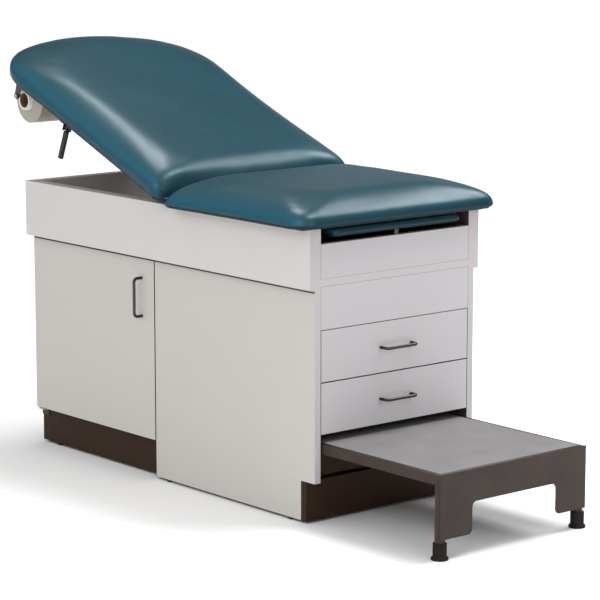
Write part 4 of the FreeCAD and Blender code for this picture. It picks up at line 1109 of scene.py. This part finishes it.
def make_margins(looks):
    board_in = 0.025
    edge = board_in + 0.0003
    band = 0.036
    start, end, half = 0.014, BACK_LENGTH - edge, TOP_HALF - edge
    corner = 0.190 - edge
    outer = (start, end, half, 0.013, corner, 0.0, BACK_FORM["bow"])
    inner = (start + band, end - band, half - band, 0.010, corner - band, 0.0, 0.10)
    line = margin("backrest_margin", back_point, outer, inner, BOARD_LOW, looks["vinyl"], "backrest", 0.2)
    scattered("backrest_staples", staple(), line, looks["steel"], "backrest")
    low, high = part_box("leg_rest_board")
    length, half = high[0] - low[0], high[1]
    edge, band = 0.003, 0.028
    outer = (edge, length - edge, half - edge, 0.004, 0.004, 0.0, 0.0)
    inner = (band, length - band, half - band, 0.003, 0.003, 0.0, 0.0)
    line = margin("leg_rest_margin", lambda x, y, n: Vector((low[0] + x, y, low[2] + n)), outer, inner, 0.0,
                  looks["vinyl"], "leg_rest", 1.0)
    scattered("leg_rest_staples", staple(), line, looks["steel"], "leg_rest")


def ribs(name, runs, width, height, look, body):
    """Thin half-round strips from start to end, standing on the top face."""
    verts = []
    faces = []
    sides = 6
    taper = width * 0.4
    turns = [math.pi * i / sides for i in range(sides + 1)]
    for start, end in runs:
        along = (end - start).normalized()
        side = Vector((0, 0, 1)).cross(along).normalized()
        first = len(verts)
        for point in (start, start + along * taper, end - along * taper, end):
            small = 0.35 if point in (start, end) else 1.0
            for turn in turns:
                verts.append(point + side * (width / 2 * math.cos(turn)) +
                             Vector((0, 0, small * height * math.sin(turn))))
        for face in ring_faces(4, len(turns)):
            faces.append(tuple(first + corner for corner in face))
        faces.append(tuple(range(first, first + len(turns))))
        faces.append(tuple(reversed(range(len(verts) - len(turns), len(verts)))))
    mesh = bpy.data.meshes.new(name)
    mesh.from_pydata([tuple(v) for v in verts], [], faces)
    obj = linked(name, mesh)
    outward(mesh)
    for polygon in mesh.polygons:
        polygon.use_smooth = abs(polygon.normal.z) < 0.999
    mesh.materials.append(look)
    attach(obj, body)


def make_trim(looks):
    low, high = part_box("step_deck")
    top = high[2]
    insets = (0.0030, 0.0085)
    end_gap = 0.012
    runs = []
    for side in (-1, 1):
        for inset in insets:
            y = side * (high[1] - inset)
            runs.append((Vector((low[0] + 0.004, y, top)), Vector((high[0] - 0.003, y, top))))
    for inset in insets:
        x = high[0] - inset
        runs.append((Vector((x, low[1] + end_gap, top)), Vector((x, high[1] - end_gap, top))))
    ribs("step_trim", runs, 0.0020, 0.0013, looks["trim"], "step")


def make_fasteners(looks):
    hinge = back_point(0, 0, 0)
    down = (back_point(0, 0, -1) - hinge).normalized()
    towards = (back_point(1, 0, 0) - hinge).normalized()
    spots = []
    apart = 0.009
    flange_half = 0.009
    flange_shift = 0.0055
    flange_thick = 0.003
    rod_back = 0.127
    screw_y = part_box("roll_brackets")[1][1] - flange_half
    rod_low, rod_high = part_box("roll_rod")
    set_back = BACK_LENGTH - rod_back + flange_shift
    flange_drop = BOARD_LOW - flange_thick
    for side in (-1, 1):
        for shift in (-apart, apart):
            spots.append((back_point(set_back + shift, side * screw_y, flange_drop), down, towards))
    scattered("roll_screws", screw_head(radius=0.0036), spots, looks["steel"], "backrest")
    axis = Vector(((rod_low[0] + rod_high[0]) / 2, 0.0, (rod_low[2] + rod_high[2]) / 2))
    nuts = [(Vector((axis.x, side * rod_high[1], axis.z)), Vector((0, side, 0)), Vector((1, 0, 0)))
            for side in (-1, 1)]
    nut = hex_nut(across=0.0062, height=0.005, rod=0.003)
    scattered("roll_nuts", nut, nuts, looks["steel"], "backrest")
    door_low, door_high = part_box("door_panel")
    bumper_x = door_high[0] - 0.018
    inset = 0.03
    bumpers = [(Vector((bumper_x, door_high[1], z)), Vector((0, 1, 0)), Vector((1, 0, 0)))
               for z in (door_low[2] + inset, door_high[2] - inset)]
    dome = turned("bumper", [(-0.0002, 0.0045), (0.0012, 0.0045), (0.0019, 0.0036), (0.0023, 0.0022),
                             (0.0025, 0.0008)])
    scattered("door_bumpers", dome, bumpers, looks["rubber"], "door")


add_camera()
add_floor()
add_sky()
add_lights()
looks = make_looks()
dress_nodes(looks)
make_cushions(looks["vinyl"])
make_leg_pad(looks["vinyl"])
make_margins(looks)
make_trim(looks)
make_fasteners(looks)
